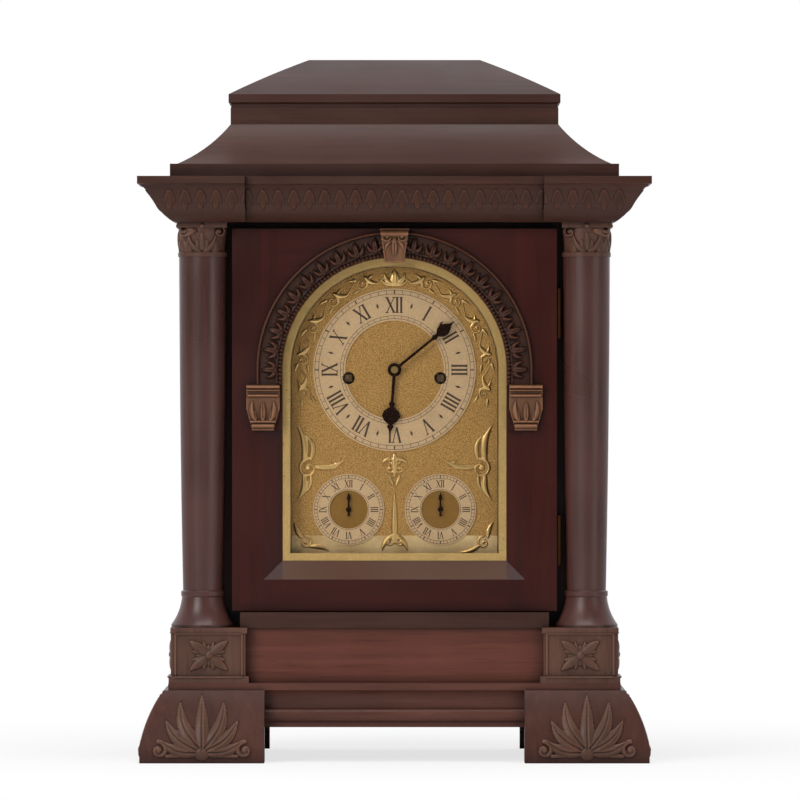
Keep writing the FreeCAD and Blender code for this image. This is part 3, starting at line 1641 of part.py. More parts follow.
def anchor():
    """The pallets over the escape wheel, their arbor, and the crutch that moves the pendulum."""
    clear = 1.9
    reach = S.escape_radius.value + clear
    drop = pallet_at[1] - escape_at[1]

    def round_wheel(radius, degrees):
        angle = math.radians(degrees)
        return Vector(radius * math.sin(angle), 0, radius * math.cos(angle) - drop)

    inner = [round_wheel(reach, degrees) for degrees in range(-54, 55, 9)]
    outer = [round_wheel(reach + 2.2, 54), Vector(3.2, 0, 3.0), Vector(-3.2, 0, 3.0)]
    outer.append(round_wheel(reach + 2.2, -54))
    pallets = slab(inner + outer, [flat_bore(thin_arbor)], escape_front - 0.3, escape_front + 1.5)
    rod_clear = S.rod_radius.value + 0.4
    pendulum_y = S.pendulum_back.value
    crutch_front = plates_back + 1
    length = 40.0
    arm = [Vector(-1.3, 0, 3), Vector(1.3, 0, 3), Vector(1.3, 0, -length), Vector(-1.3, 0, -length)]
    blade = slab(arm, [flat_bore(thin_arbor)], crutch_front, crutch_front + 1.2)
    foot_width = 2 * (rod_clear + 1.4)
    foot_block = Part.makeBox(
        foot_width, 1.2, 3, Vector(-foot_width / 2, crutch_front, -length - 3)
    )
    prongs = [
        Part.makeBox(
            1.4, pendulum_y + 2.5 - crutch_front, 3, Vector(left, crutch_front, -length - 3)
        )
        for left in (-rod_clear - 1.4, rod_clear)
    ]
    crutch = blade.fuse([foot_block, *prongs]).removeSplitter()
    cock_back = plates_back + 7
    on_arbor("anchor", [shaft(thin_arbor, plates_front, cock_back), pallets, crutch], pallet_at)


def motion_work():
    """The wheels between the front plate and the dial that turn the hour hand."""
    arbor_front = shaft(1.2, hour_back - 2.5, plates_front - 0.3)
    minute = wheel(CANNON, direction(minute_at, centre_at), 1.2, cannon_back - 1.5, cannon_back - 0.3)
    leaves = pinion(
        HOUR, facing_gap(HOUR, minute_at, centre_at), 1.2, hour_back - 2, hour_back + 0.5
    )
    on_arbor("minute_wheel", [arbor_front, minute, leaves], minute_at)
    inner = thick_arbor + 0.7 + play
    outer = inner + 0.8
    hour = wheel(HOUR, direction(centre_at, minute_at), outer, hour_back - 1.5, hour_back)
    pipe = tube(outer, inner, hand_back - S.hand_thick.value, hour_back)
    on_arbor("hour_wheel", [hour, pipe], centre_at)


def strike_train():
    """Pin wheel, warning wheel and fly."""
    pin_pinion = pinion(
        GREAT, facing_gap(GREAT, pin_at, strike_at), thick_arbor, great_front - 0.5, drum_front + 0.5
    )
    pin_wheel = wheel(PIN, direction(pin_at, warning_at), thick_arbor, second_front, second_front + 2)
    pins = []
    for number in range(8):
        angle = 2 * math.pi * (number + 0.5) / 8
        pin = shaft(0.7, second_front - 3, second_front)
        pin.translate(Vector(12.6 * math.cos(angle), 0, 12.6 * math.sin(angle)))
        pins.append(pin)
    on_arbor(
        "pin_wheel", [shaft(thick_arbor, plates_front, plates_back), pin_pinion, pin_wheel, *pins], pin_at
    )
    warning_pinion = pinion(
        PIN, facing_gap(PIN, warning_at, pin_at), thin_arbor, second_front - 0.5, second_front + 2.5
    )
    warning = wheel(
        WARNING, direction(warning_at, fly_at), thin_arbor, centre_front, centre_front + 1.2
    )
    on_arbor(
        "warning_wheel", [shaft(thin_arbor, plates_front, plates_back), warning_pinion, warning], warning_at
    )
    fly_pinion = pinion(
        WARNING, facing_gap(WARNING, fly_at, warning_at), thin_arbor, centre_front - 0.8, centre_front + 2
    )
    vane_front = second_front - 16
    vane_points = [Vector(-8, 0, -0.5), Vector(8, 0, -0.5), Vector(8, 0, 0.5), Vector(-8, 0, 0.5)]
    blades = slab(vane_points, [], vane_front, vane_front + 12)
    blades = blades.cut(shaft(thin_arbor, vane_front - 1, vane_front + 13))
    on_arbor("fly", [shaft(thin_arbor, plates_front, plates_back), fly_pinion, blades], fly_at)


def bell_and_hammer():
    """The bell over the plates, its stand, and the hammer that strikes its rim."""
    mouth = S.bell_radius
    tall = S.bell_height
    wall = S.bell_wall
    bell_y = -S.bell_front
    outline = [
        (mouth - wall, ZERO),
        (mouth, ZERO),
        (mouth - 1, tall / 6),
        Bend(mouth * 0.78, tall * 0.7),
        (mouth * 0.3, tall),
        (ZERO, tall),
        (ZERO, tall - wall),
        (mouth * 0.3 - wall / 4, tall - wall),
        Bend(mouth * 0.78 - wall, tall * 0.7 - wall / 2),
        (mouth - 1 - wall, tall / 6),
    ]
    node(place(turned("bell", outline), 0, bell_y, S.bell_mouth), "bell")
    crown = S.bell_mouth + tall
    arm_low, arm_high = crown + 2, crown + 4.5
    post_inner, post_outer = S.bell_post_inner, S.bell_post_outer
    post_back = movement_back + S.plate_thick
    post = box(
        "bell_post",
        (post_inner, post_outer),
        (movement_back, post_back),
        (S.pillar_high - 14, arm_high),
    )
    arm = prism(
        "bell_arm",
        "XY",
        [(post_outer, post_back), (post_inner, post_back), (-4.0, bell_y), (2.5, bell_y - 4)],
        arm_low,
        arm_high,
    )
    screw = rod("bell_screw", S.bell_screw_radius, "Z", crown, arm_high, ZERO, bell_y)
    node(union("bell_stand", [post, arm, screw]), "bell_stand")
    arm_front = bell_y.value - 1.0
    half_head = S.hammer_head.value / 2
    across = S.hammer_x.value - S.bell_radius.value - half_head
    up = S.bell_mouth.value + S.hammer_strike.value - S.hammer_height.value
    points = [
        Vector(-2, 0, -2),
        Vector(2, 0, -1),
        Vector(across + 0.8, 0, up - 6),
        Vector(across + 0.8, 0, up - 3),
        Vector(across - 2.5, 0, up - 3),
    ]
    lever = slab(points, [], arm_front, arm_front + 2)
    head = Part.makeBox(
        2 * half_head,
        2 * half_head,
        2 * half_head,
        Vector(across + 2 - 2 * half_head, bell_y.value - half_head, up - 5.5),
    )
    hub = shaft(2.6, arm_front - 1.5, arm_front + 3.5)
    rod_shape = shaft(1.2, plates_front, plates_back)
    hammer = rod_shape.fuse([hub, lever, head]).removeSplitter()
    on_arbor("bell_hammer", [hammer], hammer_at)


def round_plate_holes():
    """Pivot holes that both plates share: place and radius."""
    holes = [
        (at, radius + play)
        for at, radius in (
            (second_at, thick_arbor),
            (centre_at, thick_arbor),
            (third_at, thin_arbor),
            (escape_at, thin_arbor),
            (pallet_at, thin_arbor),
            (pin_at, thick_arbor),
            (warning_at, thin_arbor),
            (fly_at, thin_arbor),
            (hammer_at, 1.2),
            (going_at, S.barrel_arbor_radius.value),
            (strike_at, S.barrel_arbor_radius.value),
        )
    ]
    return [(at[0], at[1], radius) for at, radius in holes]


def plates():
    """Front and back plates, pillars between them, clicks and the minute wheel's stud."""
    half = S.plate_half_width
    outline = rectangle(-half, half, S.seat_height, S.seat_height + S.plate_height)
    holes = round_plate_holes()
    node(prism("front_plate", "XZ", outline, movement_front, space_front, holes=holes), "front_plate")
    node(prism("back_plate", "XZ", outline, space_back, movement_back, holes=holes), "back_plate")
    pieces = []
    places = []
    for side in (-1, 1):
        places += [(S.pillar_x * side, S.pillar_low), (S.pillar_x * side, S.pillar_high)]
    for number, (x, z) in enumerate(places):
        shank = rod(f"pillar_{number}", S.pillar_radius, "Y", space_front, space_back, x, z)
        collars = [
            rod(f"pillar_{number}_collar_{end}", S.pillar_collar, "Y", start, start + 3, x, z)
            for end, start in enumerate((space_front, space_back - 3))
        ]
        screw_back = movement_back + 1.5
        screw = rod(f"pillar_{number}_screw", S.pillar_radius, "Y", movement_back, screw_back, x, z)
        pieces.append(union(f"pillar_{number}_whole", [shank, *collars]))
        pieces.append(screw)
    for number, at in enumerate((strike_at, going_at)):
        pieces.append(click(number, at))
    node(group("pillars_and_clicks", pieces), "pillars_and_clicks")


def click(number, at):
    """A pawl on a stud, just clear of the ratchet teeth."""
    radius = S.ratchet_radius.value
    front = plates_front - 2.5
    stud = shaft(1.6, front, plates_front)
    points = [
        Vector(-2.2, 0, -1.5),
        Vector(1.8, 0, -2),
        Vector(2.2, 0, 2),
        Vector(-1.5, 0, 2.2),
        Vector(-5.0, 0, 0.4),
    ]
    pawl = slab(points, [], front, front + 2).fuse(stud).removeSplitter()
    outward = 1 if at[0] > 0 else -1
    if outward < 0:
        pawl = pawl.mirror(Vector(), Vector(1, 0, 0))
    return computed(f"click_{number}", pawl, at[0] + outward * (radius + 5.6), 0, at[1] + 1)


def back_cock():
    """The bridge behind the back plate that carries the anchor's arbor and the pendulum."""
    low, high = pallet_height - 6, pallet_height + 8
    bridge_front = movement_back + S.cock_stand
    bridge_back = bridge_front + S.cock_thick
    legs = []
    for word, side in (("left", -1), ("right", 1)):
        across = sorted_pair(S.cock_leg_inner * side, S.cock_half_width * side)
        legs.append(box(f"cock_leg_{word}", across, (movement_back, bridge_front), (low, high)))
    bridge = box("cock_bridge", both_ways(S.cock_half_width), (bridge_front, bridge_back), (low, high))
    stud = box(
        "cock_stud",
        both_ways(S.cock_stud_half),
        (bridge_back, S.pendulum_back + 2),
        (pallet_height + 3.3, high),
    )
    hole = rod(
        "cock_hole",
        S.thin_arbor_radius + S.pin_play,
        "Y",
        movement_back,
        bridge_back + 1,
        ZERO,
        pallet_height,
    )
    node(cut("back_cock", union("cock_whole", [*legs, bridge, stud]), [hole]), "back_cock")


def pendulum():
    """Suspension spring, rod, heavy bob and rating nut."""
    y = S.pendulum_back
    bob_z = pallet_height - S.pendulum_length
    radius, thick = S.bob_radius, S.bob_half_thick
    spring = box(
        "pendulum_spring",
        both_ways(S.suspension_half_thick),
        (y - 1.8, y + 1.8),
        (pallet_height - 10, pallet_height + 3),
    )
    end = bob_z - radius - 10
    stem = rod("pendulum_rod", S.rod_radius, "Z", end, pallet_height - 8, ZERO, y)
    outline = [
        (ZERO, -thick),
        Bend(radius * 0.62, -(thick * 0.66)),
        (radius, -(thick / 8)),
        (radius, thick / 8),
        Bend(radius * 0.62, thick * 0.66),
        (ZERO, thick),
    ]
    bob = facing_back(turned("bob", outline), ZERO, y, bob_z)
    nut = rod("rating_nut", S.rod_radius * 3.2, "Z", end + 2, end + 5, ZERO, y)
    node(union("pendulum", [spring, stem, bob, nut]), "pendulum")


def seat_board():
    """The board between the case sides that the movement stands on."""
    inner = S.case_half_width - S.side_thick
    deep = (movement_front - S.seat_margin, movement_back + S.seat_margin)
    high = (S.seat_height - S.seat_thick, S.seat_height)
    node(box("seat_board", both_ways(inner), deep, high), "seat_board")


def hand(name, half_widths, boss, hole, back, angle, at, thick):
    """A flat hand from its half widths along its length, turned about its axis."""
    turn = Rotation(Vector(0, 1, 0), angle)
    right = [Vector(width, 0, distance) for width, distance in half_widths]
    left = [Vector(-point.x, 0, point.z) for point in reversed(right) if point.x > 0]
    outline = [turn.multVec(point) for point in right + left]
    blade = slab(outline, [], back - thick, back)
    hub = shaft(boss, back - thick, back)
    shape = blade.fuse(hub).removeSplitter()
    if hole:
        shape = shape.cut(shaft(hole, back - thick - 1, back + 1))
    return computed(name, shape, at[0], 0, at[1])


def shares(length, pairs):
    return [(width, share * length) for width, share in pairs]


def hands():
    thick = S.hand_thick.value
    minute = S.minute_angle.value
    hour = 180.0 + minute / 12
    hour_shape = shares(
        S.hour_length.value,
        (
            (1.2, 0.0),
            (1.0, 0.5),
            (2.4, 0.54),
            (1.4, 0.59),
            (5.6, 0.66),
            (6.8, 0.74),
            (4.6, 0.82),
            (1.5, 0.87),
            (2.6, 0.9),
            (0.0, 1.0),
        ),
    )
    minute_shape = shares(
        S.minute_length.value,
        (
            (1.1, 0.0),
            (0.9, 0.62),
            (2.2, 0.66),
            (1.2, 0.7),
            (4.0, 0.76),
            (4.6, 0.82),
            (2.8, 0.88),
            (1.0, 0.92),
            (0.0, 1.0),
        ),
    )
    outer = thick_arbor + 0.7 + play + 0.8
    hour_piece = hand("hour_hand", hour_shape, 5.0, outer, hand_back, hour, centre_at, thick)
    node(hour_piece, "hour_hand")
    bore = thick_arbor + 0.7
    minute_piece = hand("minute_hand", minute_shape, 3.8, bore, minute_back, minute, centre_at, thick)
    node(minute_piece, "minute_hand")
    pointer_shape = shares(S.pointer_length.value, ((0.8, -0.4), (0.6, 0.5), (1.6, 0.66), (0.0, 1.0)))
    back = ring_front.value - 0.8
    for word, side, angle in (
        ("strike", -1, S.silent_angle.value),
        ("regulation", 1, S.speed_angle.value),
    ):
        at = (S.small_dial_x.value * side, S.small_dial_height.value)
        name = f"{word}_pointer"
        piece = hand(name + "_blade", pointer_shape, 2.0, 0, back, angle, at, 0.8)
        stem = computed(
            name + "_stem",
            shaft(thin_arbor, back - 0.4, dial_back.value + 1.5).fuse(
                shaft(2.2, dial_back.value + 0.2, dial_back.value + 1.5)
            ),
            at[0],
            0,
            at[1],
        )
        node(union(name, [piece, stem]), name)


barrel("going", going_at, second_at)
barrel("strike", strike_at, pin_at)
winding_arbor("going", going_at)
winding_arbor("strike", strike_at)
going_train()
anchor()
motion_work()
strike_train()
bell_and_hammer()
plates()
back_cock()
pendulum()
seat_board()
hands()


# --- finish ---------------------------------------------------------------


def check_and_export():
    """Stop on any failed object, then write each node's file."""
    doc.recompute()
    failed = [
        thing.Name for thing in doc.Objects if {"Invalid", "Error"} & set(thing.State)
    ]
    if failed:
        raise SystemExit(f"failed objects: {failed}")
    for piece in NODES:
        if piece.Shape.isNull() or not piece.Shape.isValid():
            raise SystemExit(f"bad shape: {piece.Label}")
    os.makedirs("parts", exist_ok=True)
    for piece in NODES:
        piece.Shape.exportStep(f"parts/{piece.Label}.step")
        print(piece.Label, len(piece.Shape.Solids), round(piece.Shape.Volume))


check_and_export()
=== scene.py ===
"""The looks of the bracket clock: wood, brass, steel and glass, and the carving on its case and dial."""

import math

import bpy
import numpy as np
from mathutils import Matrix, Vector
from mathutils.bvhtree import BVHTree


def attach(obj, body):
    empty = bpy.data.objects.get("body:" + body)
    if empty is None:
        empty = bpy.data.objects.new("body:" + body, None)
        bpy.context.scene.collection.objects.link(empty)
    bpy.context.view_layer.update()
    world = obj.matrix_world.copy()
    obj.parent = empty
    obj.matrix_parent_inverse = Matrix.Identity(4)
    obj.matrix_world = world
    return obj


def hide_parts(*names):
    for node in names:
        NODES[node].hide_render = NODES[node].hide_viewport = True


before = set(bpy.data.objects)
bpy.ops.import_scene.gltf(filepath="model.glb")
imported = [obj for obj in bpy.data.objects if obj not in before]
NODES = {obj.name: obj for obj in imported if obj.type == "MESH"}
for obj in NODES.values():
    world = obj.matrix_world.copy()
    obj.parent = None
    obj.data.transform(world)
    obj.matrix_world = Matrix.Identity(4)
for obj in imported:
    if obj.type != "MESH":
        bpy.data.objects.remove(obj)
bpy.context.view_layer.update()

MM = 0.001
DIAL_Z = 0.284
RING_FACE = -0.0555
DIAL_FACE = -0.054
SMALL_X, SMALL_Z = 0.0335, 0.182
OPENING_HALF = 0.0815

# Places of the carving, in mm.
DOOR_FACE = -84.0
ARCH_RADIUS = 91.0
IMPOST_X = 95.5
PEDESTAL_X, PEDESTAL_Y, PEDESTAL_LEVEL = 134.5, 76.5, 77.0
FOOT_X, FOOT_Y = 139.0, 82.0
CAPITAL_X, CAPITAL_Y = 139.5, 80.5
CAPITAL_BEND = 19.5
SCROLL_RADIUS = 67.5
OUTSIDE = 400

SIDES = (("left", -1), ("right", 1))
HOURS = ("XII", "I", "II", "III", "IIII", "V", "VI", "VII", "VIII", "IX", "X", "XI")

# Distances from the clock between which its shadow fades, and the darkest tones of floor and room.
SHADOW_REACH = (0.24, 0.75)
SHADOW_TONE = 0.74
ROOM_TONE = 0.11


# --- materials -------------------------------------------------------------


class Shader:
    """A material's node tree, built with short calls."""

    def __init__(self, name):
        self.material = bpy.data.materials.new(name)
        self.material.use_nodes = True
        self.tree = self.material.node_tree
        self.surface = self.tree.nodes["Principled BSDF"]

    def add(self, kind, inputs=None, **settings):
        node = self.tree.nodes.new(kind)
        for key, value in settings.items():
            setattr(node, key, value)
        for key, value in (inputs or {}).items():
            self.feed(node.inputs[key], value)
        return node

    def feed(self, socket, value):
        if isinstance(value, bpy.types.NodeSocket):
            self.tree.links.new(value, socket)
        else:
            socket.default_value = value

    def set(self, **values):
        for key, value in values.items():
            self.feed(self.surface.inputs[key.replace("_", " ")], value)

    def math(self, operation, first, second=0.0):
        return self.add("ShaderNodeMath", {0: first, 1: second}, operation=operation).outputs[0]

    def squares(self, first, second):
        """The sum of two squares."""
        return self.math("ADD", self.math("POWER", first, 2.0), self.math("POWER", second, 2.0))

    def ramp(self, value, stops):
        node = self.add("ShaderNodeValToRGB", {"Fac": value})
        elements = node.color_ramp.elements
        while len(elements) < len(stops):
            elements.new(1.0)
        for element, (place, colour) in zip(elements, stops):
            element.position = place
            element.color = colour
        return node.outputs["Color"]

    def mix(self, factor, first, second, **kind):
        """Blends two colours, or two vectors with data_type="VECTOR"."""
        settings = {"data_type": "RGBA", **kind}
        node = self.add("ShaderNodeMix", {"Factor": factor, "A": first, "B": second}, **settings)
        return node.outputs["Result"]

    def place(self):
        return self.add("ShaderNodeTexCoord").outputs["Object"]

    def parts(self, vector):
        return self.add("ShaderNodeSeparateXYZ", {"Vector": vector}).outputs

    def scaled(self, vector, scale):
        node = self.add("ShaderNodeMapping", {"Vector": vector})
        node.inputs["Scale"].default_value = scale
        return node.outputs["Vector"]

    def noise(self, vector, scale=1.0, detail=4.0, roughness=0.5, distortion=0.0):
        node = self.add(
            "ShaderNodeTexNoise",
            {
                "Vector": vector,
                "Scale": scale,
                "Detail": detail,
                "Roughness": roughness,
                "Distortion": distortion,
            },
        )
        return node.outputs["Fac"]

    def bump(self, height, distance, strength=1.0, normal=None):
        node = self.add("ShaderNodeBump", {"Height": height, "Distance": distance, "Strength": strength})
        if normal is not None:
            self.feed(node.inputs["Normal"], normal)
        return node.outputs["Normal"]


def grey(value):
    return (value, value, value, 1.0)


def linear(red, green, blue):
    """A colour given in the 0 to 255 steps of a screen, as a linear colour."""

    def one(step):
        share = step / 255
        return share / 12.92 if share <= 0.04045 else ((share + 0.055) / 1.055) ** 2.4

    return (one(red), one(green), one(blue), 1.0)


def darker(colour, share):
    return (colour[0] * share, colour[1] * share, colour[2] * share, 1.0)


def grain_place(shader, run):
    """Coordinates stretched along the grain: along x, along z, round a moulding, or as a door is joined."""
    place = shader.place()
    along_x = shader.scaled(place, (4, 90, 90))
    along_z = shader.scaled(place, (90, 90, 4))
    if run == "x":
        return along_x
    if run == "z":
        return along_z
    if run == "round":
        along_y = shader.scaled(place, (90, 4, 90))
        normal = shader.add("ShaderNodeTexCoord").outputs["Normal"]
        side = shader.math("ABSOLUTE", shader.parts(normal)["X"])
        return shader.mix(shader.math("GREATER_THAN", side, 0.6), along_x, along_y, data_type="VECTOR")
    across = shader.math("ABSOLUTE", shader.parts(place)["X"])
    on_stile = shader.math("GREATER_THAN", across, OPENING_HALF)
    return shader.mix(on_stile, along_x, along_z, data_type="VECTOR")


def ringed(shader, value, low, high):
    """1 between two values and 0 elsewhere."""
    above = shader.math("GREATER_THAN", value, low)
    below = shader.math("LESS_THAN", value, high)
    return shader.math("MULTIPLY", above, below)


def painted_dial_reflection_share(shader):
    """1 on the bevel under the opening of the front door, where a reflection of the dial is painted."""
    place = shader.parts(shader.place())
    deep = ringed(shader, place["Y"], -0.0838, -0.0740)
    level = ringed(shader, place["Z"], 0.1310, 0.1455)
    inside = shader.math("LESS_THAN", shader.math("ABSOLUTE", place["X"]), OPENING_HALF)
    return shader.math("MULTIPLY", shader.math("MULTIPLY", deep, level), inside)


def wood(name, colour, run, gloss=0.36, coat=0.04, sheen=0.2, carved=False):
    """Dark stained oak under wax: broad figure, open pores, painted shade in the corners and, if carved,
    painted shade in hollows and a painted highlight on ridges.
    """
    shader = Shader(name)
    place = grain_place(shader, run)
    figure = shader.noise(place, 0.55, 5, 0.62, 0.7)
    streaks = shader.noise(place, 3.2, 4, 0.6, 0.2)
    pores = shader.noise(place, 9.0, 3, 0.55)
    blotches = shader.noise(shader.place(), 14.0, 3, 0.5)
    body = shader.ramp(
        figure,
        [(0.28, darker(colour, 0.62)), (0.5, colour), (0.72, darker(colour, 1.42))],
    )
    body = shader.mix(
        shader.math("MULTIPLY", shader.ramp(streaks, [(0.45, grey(0.0)), (0.75, grey(1.0))]), 0.55),
        body,
        darker(colour, 0.5),
    )
    pore_lines = shader.ramp(pores, [(0.6, grey(0.0)), (0.7, grey(1.0))])
    body = shader.mix(shader.math("MULTIPLY", pore_lines, 0.5), body, darker(colour, 0.28))
    body = shader.mix(
        shader.math("MULTIPLY", shader.ramp(blotches, [(0.35, grey(0.0)), (0.7, grey(1.0))]), 0.3),
        body,
        darker(colour, 1.5),
    )
    # Painted shade and highlight: on carving, hollows are darkened and ridges lightened by pointiness.
    if carved:
        point = shader.add("ShaderNodeNewGeometry").outputs["Pointiness"]
        painted_hollow_shade = shader.ramp(point, [(0.44, grey(1.0)), (0.505, grey(0.0))])
        painted_ridge_highlight = shader.ramp(point, [(0.505, grey(0.0)), (0.56, grey(1.0))])
        body = shader.mix(shader.math("MULTIPLY", painted_hollow_shade, 0.75), body, darker(colour, 0.22))
        body = shader.mix(shader.math("MULTIPLY", painted_ridge_highlight, 0.6), body, darker(colour, 2.3))
    # Painted shade: ambient occlusion darkens the colour in corners, creases and gaps between parts.
    shade = shader.add("ShaderNodeAmbientOcclusion", {"Distance": 0.010}, samples=4)
    corner = shader.ramp(shade.outputs["AO"], [(0.35, grey(0.35)), (0.9, grey(1.0))])
    body = shader.mix(1.0, body, corner, blend_type="MULTIPLY")
    rough = shader.ramp(blotches, [(0.3, grey(gloss - 0.05)), (0.7, grey(gloss + 0.12))])
    # Painted reflection: the bevel under the opening is tinted golden as if the brass dial shone in it.
    if run == "door":
        body = shader.mix(painted_dial_reflection_share(shader), body, linear(74, 38, 6))
    relief = shader.bump(pores, 0.00012, 0.35)
    relief = shader.bump(figure, 0.0003, 0.15, relief)
    shader.set(Base_Color=body, Roughness=rough, Normal=relief, Specular_IOR_Level=sheen)
    shader.set(Coat_Weight=coat, Coat_Roughness=0.24)
    return shader.material


def metal(name, colour, rough=0.28, grain="fine", tarnish=0.4, shine=1.0):
    """A worked metal: brushed one way, turned, or left matt from the punch."""
    shader = Shader(name)
    place = shader.place()
    if grain == "brushed":
        marks = shader.noise(shader.scaled(place, (60, 60, 2600)), 1.0, 3, 0.6)
    elif grain == "matted":
        marks = shader.noise(place, 1500, 2, 0.7)
    else:
        marks = shader.noise(place, 700, 4, 0.6)
    clouds = shader.noise(place, 45, 4, 0.6)
    tone = shader.ramp(clouds, [(0.3, darker(colour, 1 - tarnish)), (0.6, colour)])
    tone = shader.mix(
        shader.math("MULTIPLY", shader.ramp(marks, [(0.4, grey(1)), (0.7, grey(0))]), 0.35),
        tone,
        darker(colour, 0.55),
    )
    rough_map = shader.ramp(clouds, [(0.3, grey(rough + 0.14)), (0.7, grey(rough - 0.04))])
    depth = 0.00009 if grain == "matted" else 0.00003
    shader.set(
        Base_Color=tone,
        Metallic=shine,
        Roughness=rough_map,
        Normal=shader.bump(marks, depth, 0.6),
    )
    return shader.material


def dial_plate_metal():
    """Brass plate: matted ground, polished border and foot, engraved lines, dark small centres."""
    border_start, foot_top, well_radius = 0.0752, 0.163, 0.0146
    shader = Shader("dial_plate_brass")
    place = shader.place()
    parts = shader.parts(place)
    aside = shader.math("ABSOLUTE", parts["X"])
    high = shader.math("SUBTRACT", parts["Z"], DIAL_Z)
    radius = shader.math("SQRT", shader.squares(parts["X"], high))
    arched = shader.math("MULTIPLY", shader.math("GREATER_THAN", high, 0.0), radius)
    upright = shader.math("MULTIPLY", shader.math("LESS_THAN", high, 0.0), aside)
    edge = shader.math("ADD", arched, upright)
    border = shader.math("GREATER_THAN", edge, border_start)
    grains = shader.noise(place, 1300, 2, 0.7)
    clouds = shader.noise(place, 40, 4, 0.6)
    matted = shader.ramp(grains, [(0.3, linear(140, 100, 50)), (0.66, linear(222, 176, 106))])
    polished = shader.ramp(clouds, [(0.3, linear(206, 172, 118)), (0.65, linear(244, 214, 158))])
    colour = shader.mix(border, matted, polished)
    colour = shader.mix(shader.math("LESS_THAN", parts["Z"], foot_top), colour, polished)
    away = shader.math("SUBTRACT", aside, SMALL_X)
    level = shader.math("SUBTRACT", parts["Z"], SMALL_Z)
    inside = shader.math("LESS_THAN", shader.squares(away, level), well_radius**2)
    colour = shader.mix(shader.math("MULTIPLY", inside, 0.85), colour, linear(146, 108, 52))
    inner_line = ringed(shader, edge, 0.0750, 0.0756)
    outer_line = ringed(shader, edge, 0.0788, 0.0793)
    lines = shader.math("ADD", inner_line, outer_line)
    colour = shader.mix(shader.math("MULTIPLY", lines, 0.7), colour, linear(70, 48, 20))
    rough = shader.mix(border, grey(0.46), grey(0.3))
    strength = shader.math("SUBTRACT", 1.0, shader.math("MULTIPLY", border, 0.85))
    normal = shader.bump(grains, 0.00012, strength)
    shader.set(Base_Color=colour, Metallic=1.0, Roughness=rough, Normal=normal)
    return shader.material


def glass(name):
    shader = Shader(name)
    shader.set(
        Base_Color=(0.03, 0.03, 0.03, 1.0),
        Alpha=0.06,
        IOR=1.5,
        Specular_IOR_Level=0.6,
    )
    smears = shader.noise(shader.place(), 18, 4, 0.6)
    shader.set(Roughness=shader.ramp(smears, [(0.4, grey(0.02)), (0.8, grey(0.07))]))
    return shader.material


OAK = linear(62, 37, 29)
DEEP = linear(54, 14, 7)
PANEL = linear(98, 54, 43)
MATERIALS = {
    "oak_run": wood("oak_run", OAK, "round"),
    "oak_panel": wood("oak_panel", PANEL, "round"),
    "oak_cap": wood("oak_cap", linear(54, 27, 19), "round", sheen=0.3),
    "oak_base": wood("oak_base", linear(90, 54, 44), "round"),
    "oak_feet": wood("oak_feet", linear(72, 42, 34), "z"),
    "oak_upright": wood("oak_upright", linear(90, 61, 50), "z"),
    "oak_turned": wood("oak_turned", linear(76, 45, 39), "z", gloss=0.3, coat=0.1, sheen=0.36),
    "oak_door": wood("oak_door", DEEP, "door", gloss=0.34),
    "oak_frame": wood("oak_frame", DEEP, "z"),
    "oak_carved": wood("oak_carved", linear(84, 57, 45), "z", carved=True),
    "oak_carved_door": wood("oak_carved_door", linear(62, 34, 22), "z", carved=True),
    "oak_carved_stone": wood("oak_carved_stone", linear(114, 78, 55), "z", carved=True),
    "oak_inside": wood("oak_inside", linear(150, 112, 74), "x", gloss=0.6, coat=0.0),
    "dial_brass": dial_plate_metal(),
    "brass": metal("brass", linear(206, 172, 104), 0.24, "brushed", 0.3),
    "gilt": metal("gilt", linear(236, 196, 126), 0.3, "fine", 0.35),
    "silvered": metal("silvered", linear(240, 204, 156), 0.42, "fine", 0.12),
    "bell": metal("bell", linear(196, 170, 120), 0.2, "brushed", 0.25),
    "steel": metal("steel", linear(176, 176, 178), 0.26, "brushed", 0.25),
    "dull_steel": metal("dull_steel", linear(112, 90, 64), 0.4, "fine", 0.3),
    "bronze": metal("bronze", linear(62, 38, 22), 0.5, "fine", 0.35),
    "blued": metal("blued", linear(52, 30, 20), 0.3, "fine", 0.3),
    "wax": metal("wax", linear(78, 54, 32), 0.5, "fine", 0.2, 0.0),
    "glass": glass("glass"),
}

WEARS = {
    "oak_run": ("cornice", "roof_cove", "floor_board"),
    "oak_base": ("base_moulding",),
    "oak_feet": ("feet",),
    "oak_cap": ("roof_cap",),
    "oak_panel": ("base_box",),
    "oak_upright": (
        "left_side_panel",
        "right_side_panel",
        "front_pedestals",
        "column_capitals",
    ),
    "oak_turned": ("left_column", "right_column"),
    "oak_door": ("front_door_frame", "back_door_frame"),
    "oak_frame": ("front_frame", "back_frame"),
    "oak_inside": ("top_board", "seat_board"),
    "oak_carved": ("door_arch_band", "door_carvings"),
    "dial_brass": ("dial_plate",),
    "gilt": ("dial_ornaments", "door_bead"),
    "silvered": ("hour_ring", "small_dial_rings"),
    "bell": ("bell",),
    "steel": ("anchor", "bell_stand", "bell_hammer"),
    "dull_steel": ("going_winding_arbor", "strike_winding_arbor"),
    "bronze": ("case_hinge_halves", "front_door_hinge_halves", "back_door_hinge_halves"),
    "blued": ("hour_hand", "minute_hand", "strike_pointer", "regulation_pointer"),
    "glass": ("front_door_glass", "back_door_glass", "left_side_glass", "right_side_glass"),
}
worn_by = {node: name for name, nodes in WEARS.items() for node in nodes}
for node_name, thing in NODES.items():
    material = MATERIALS[worn_by.get(node_name, "brass")]
    thing.data.materials.clear()
    thing.data.materials.append(material)


# --- carving ---------------------------------------------------------------


def stroke(start, end, bend, steps):
    """The way from start to end, bowed to one side, in steps of (share of the way, across, up)."""
    along = (end[0] - start[0], end[1] - start[1])
    for number in range(steps + 1):
        share = number / steps
        bow = bend * math.sin(math.pi * share)
        yield (
            share,
            start[0] + along[0] * share - along[1] * bow,
            start[1] + along[1] * share + along[0] * bow,
        )


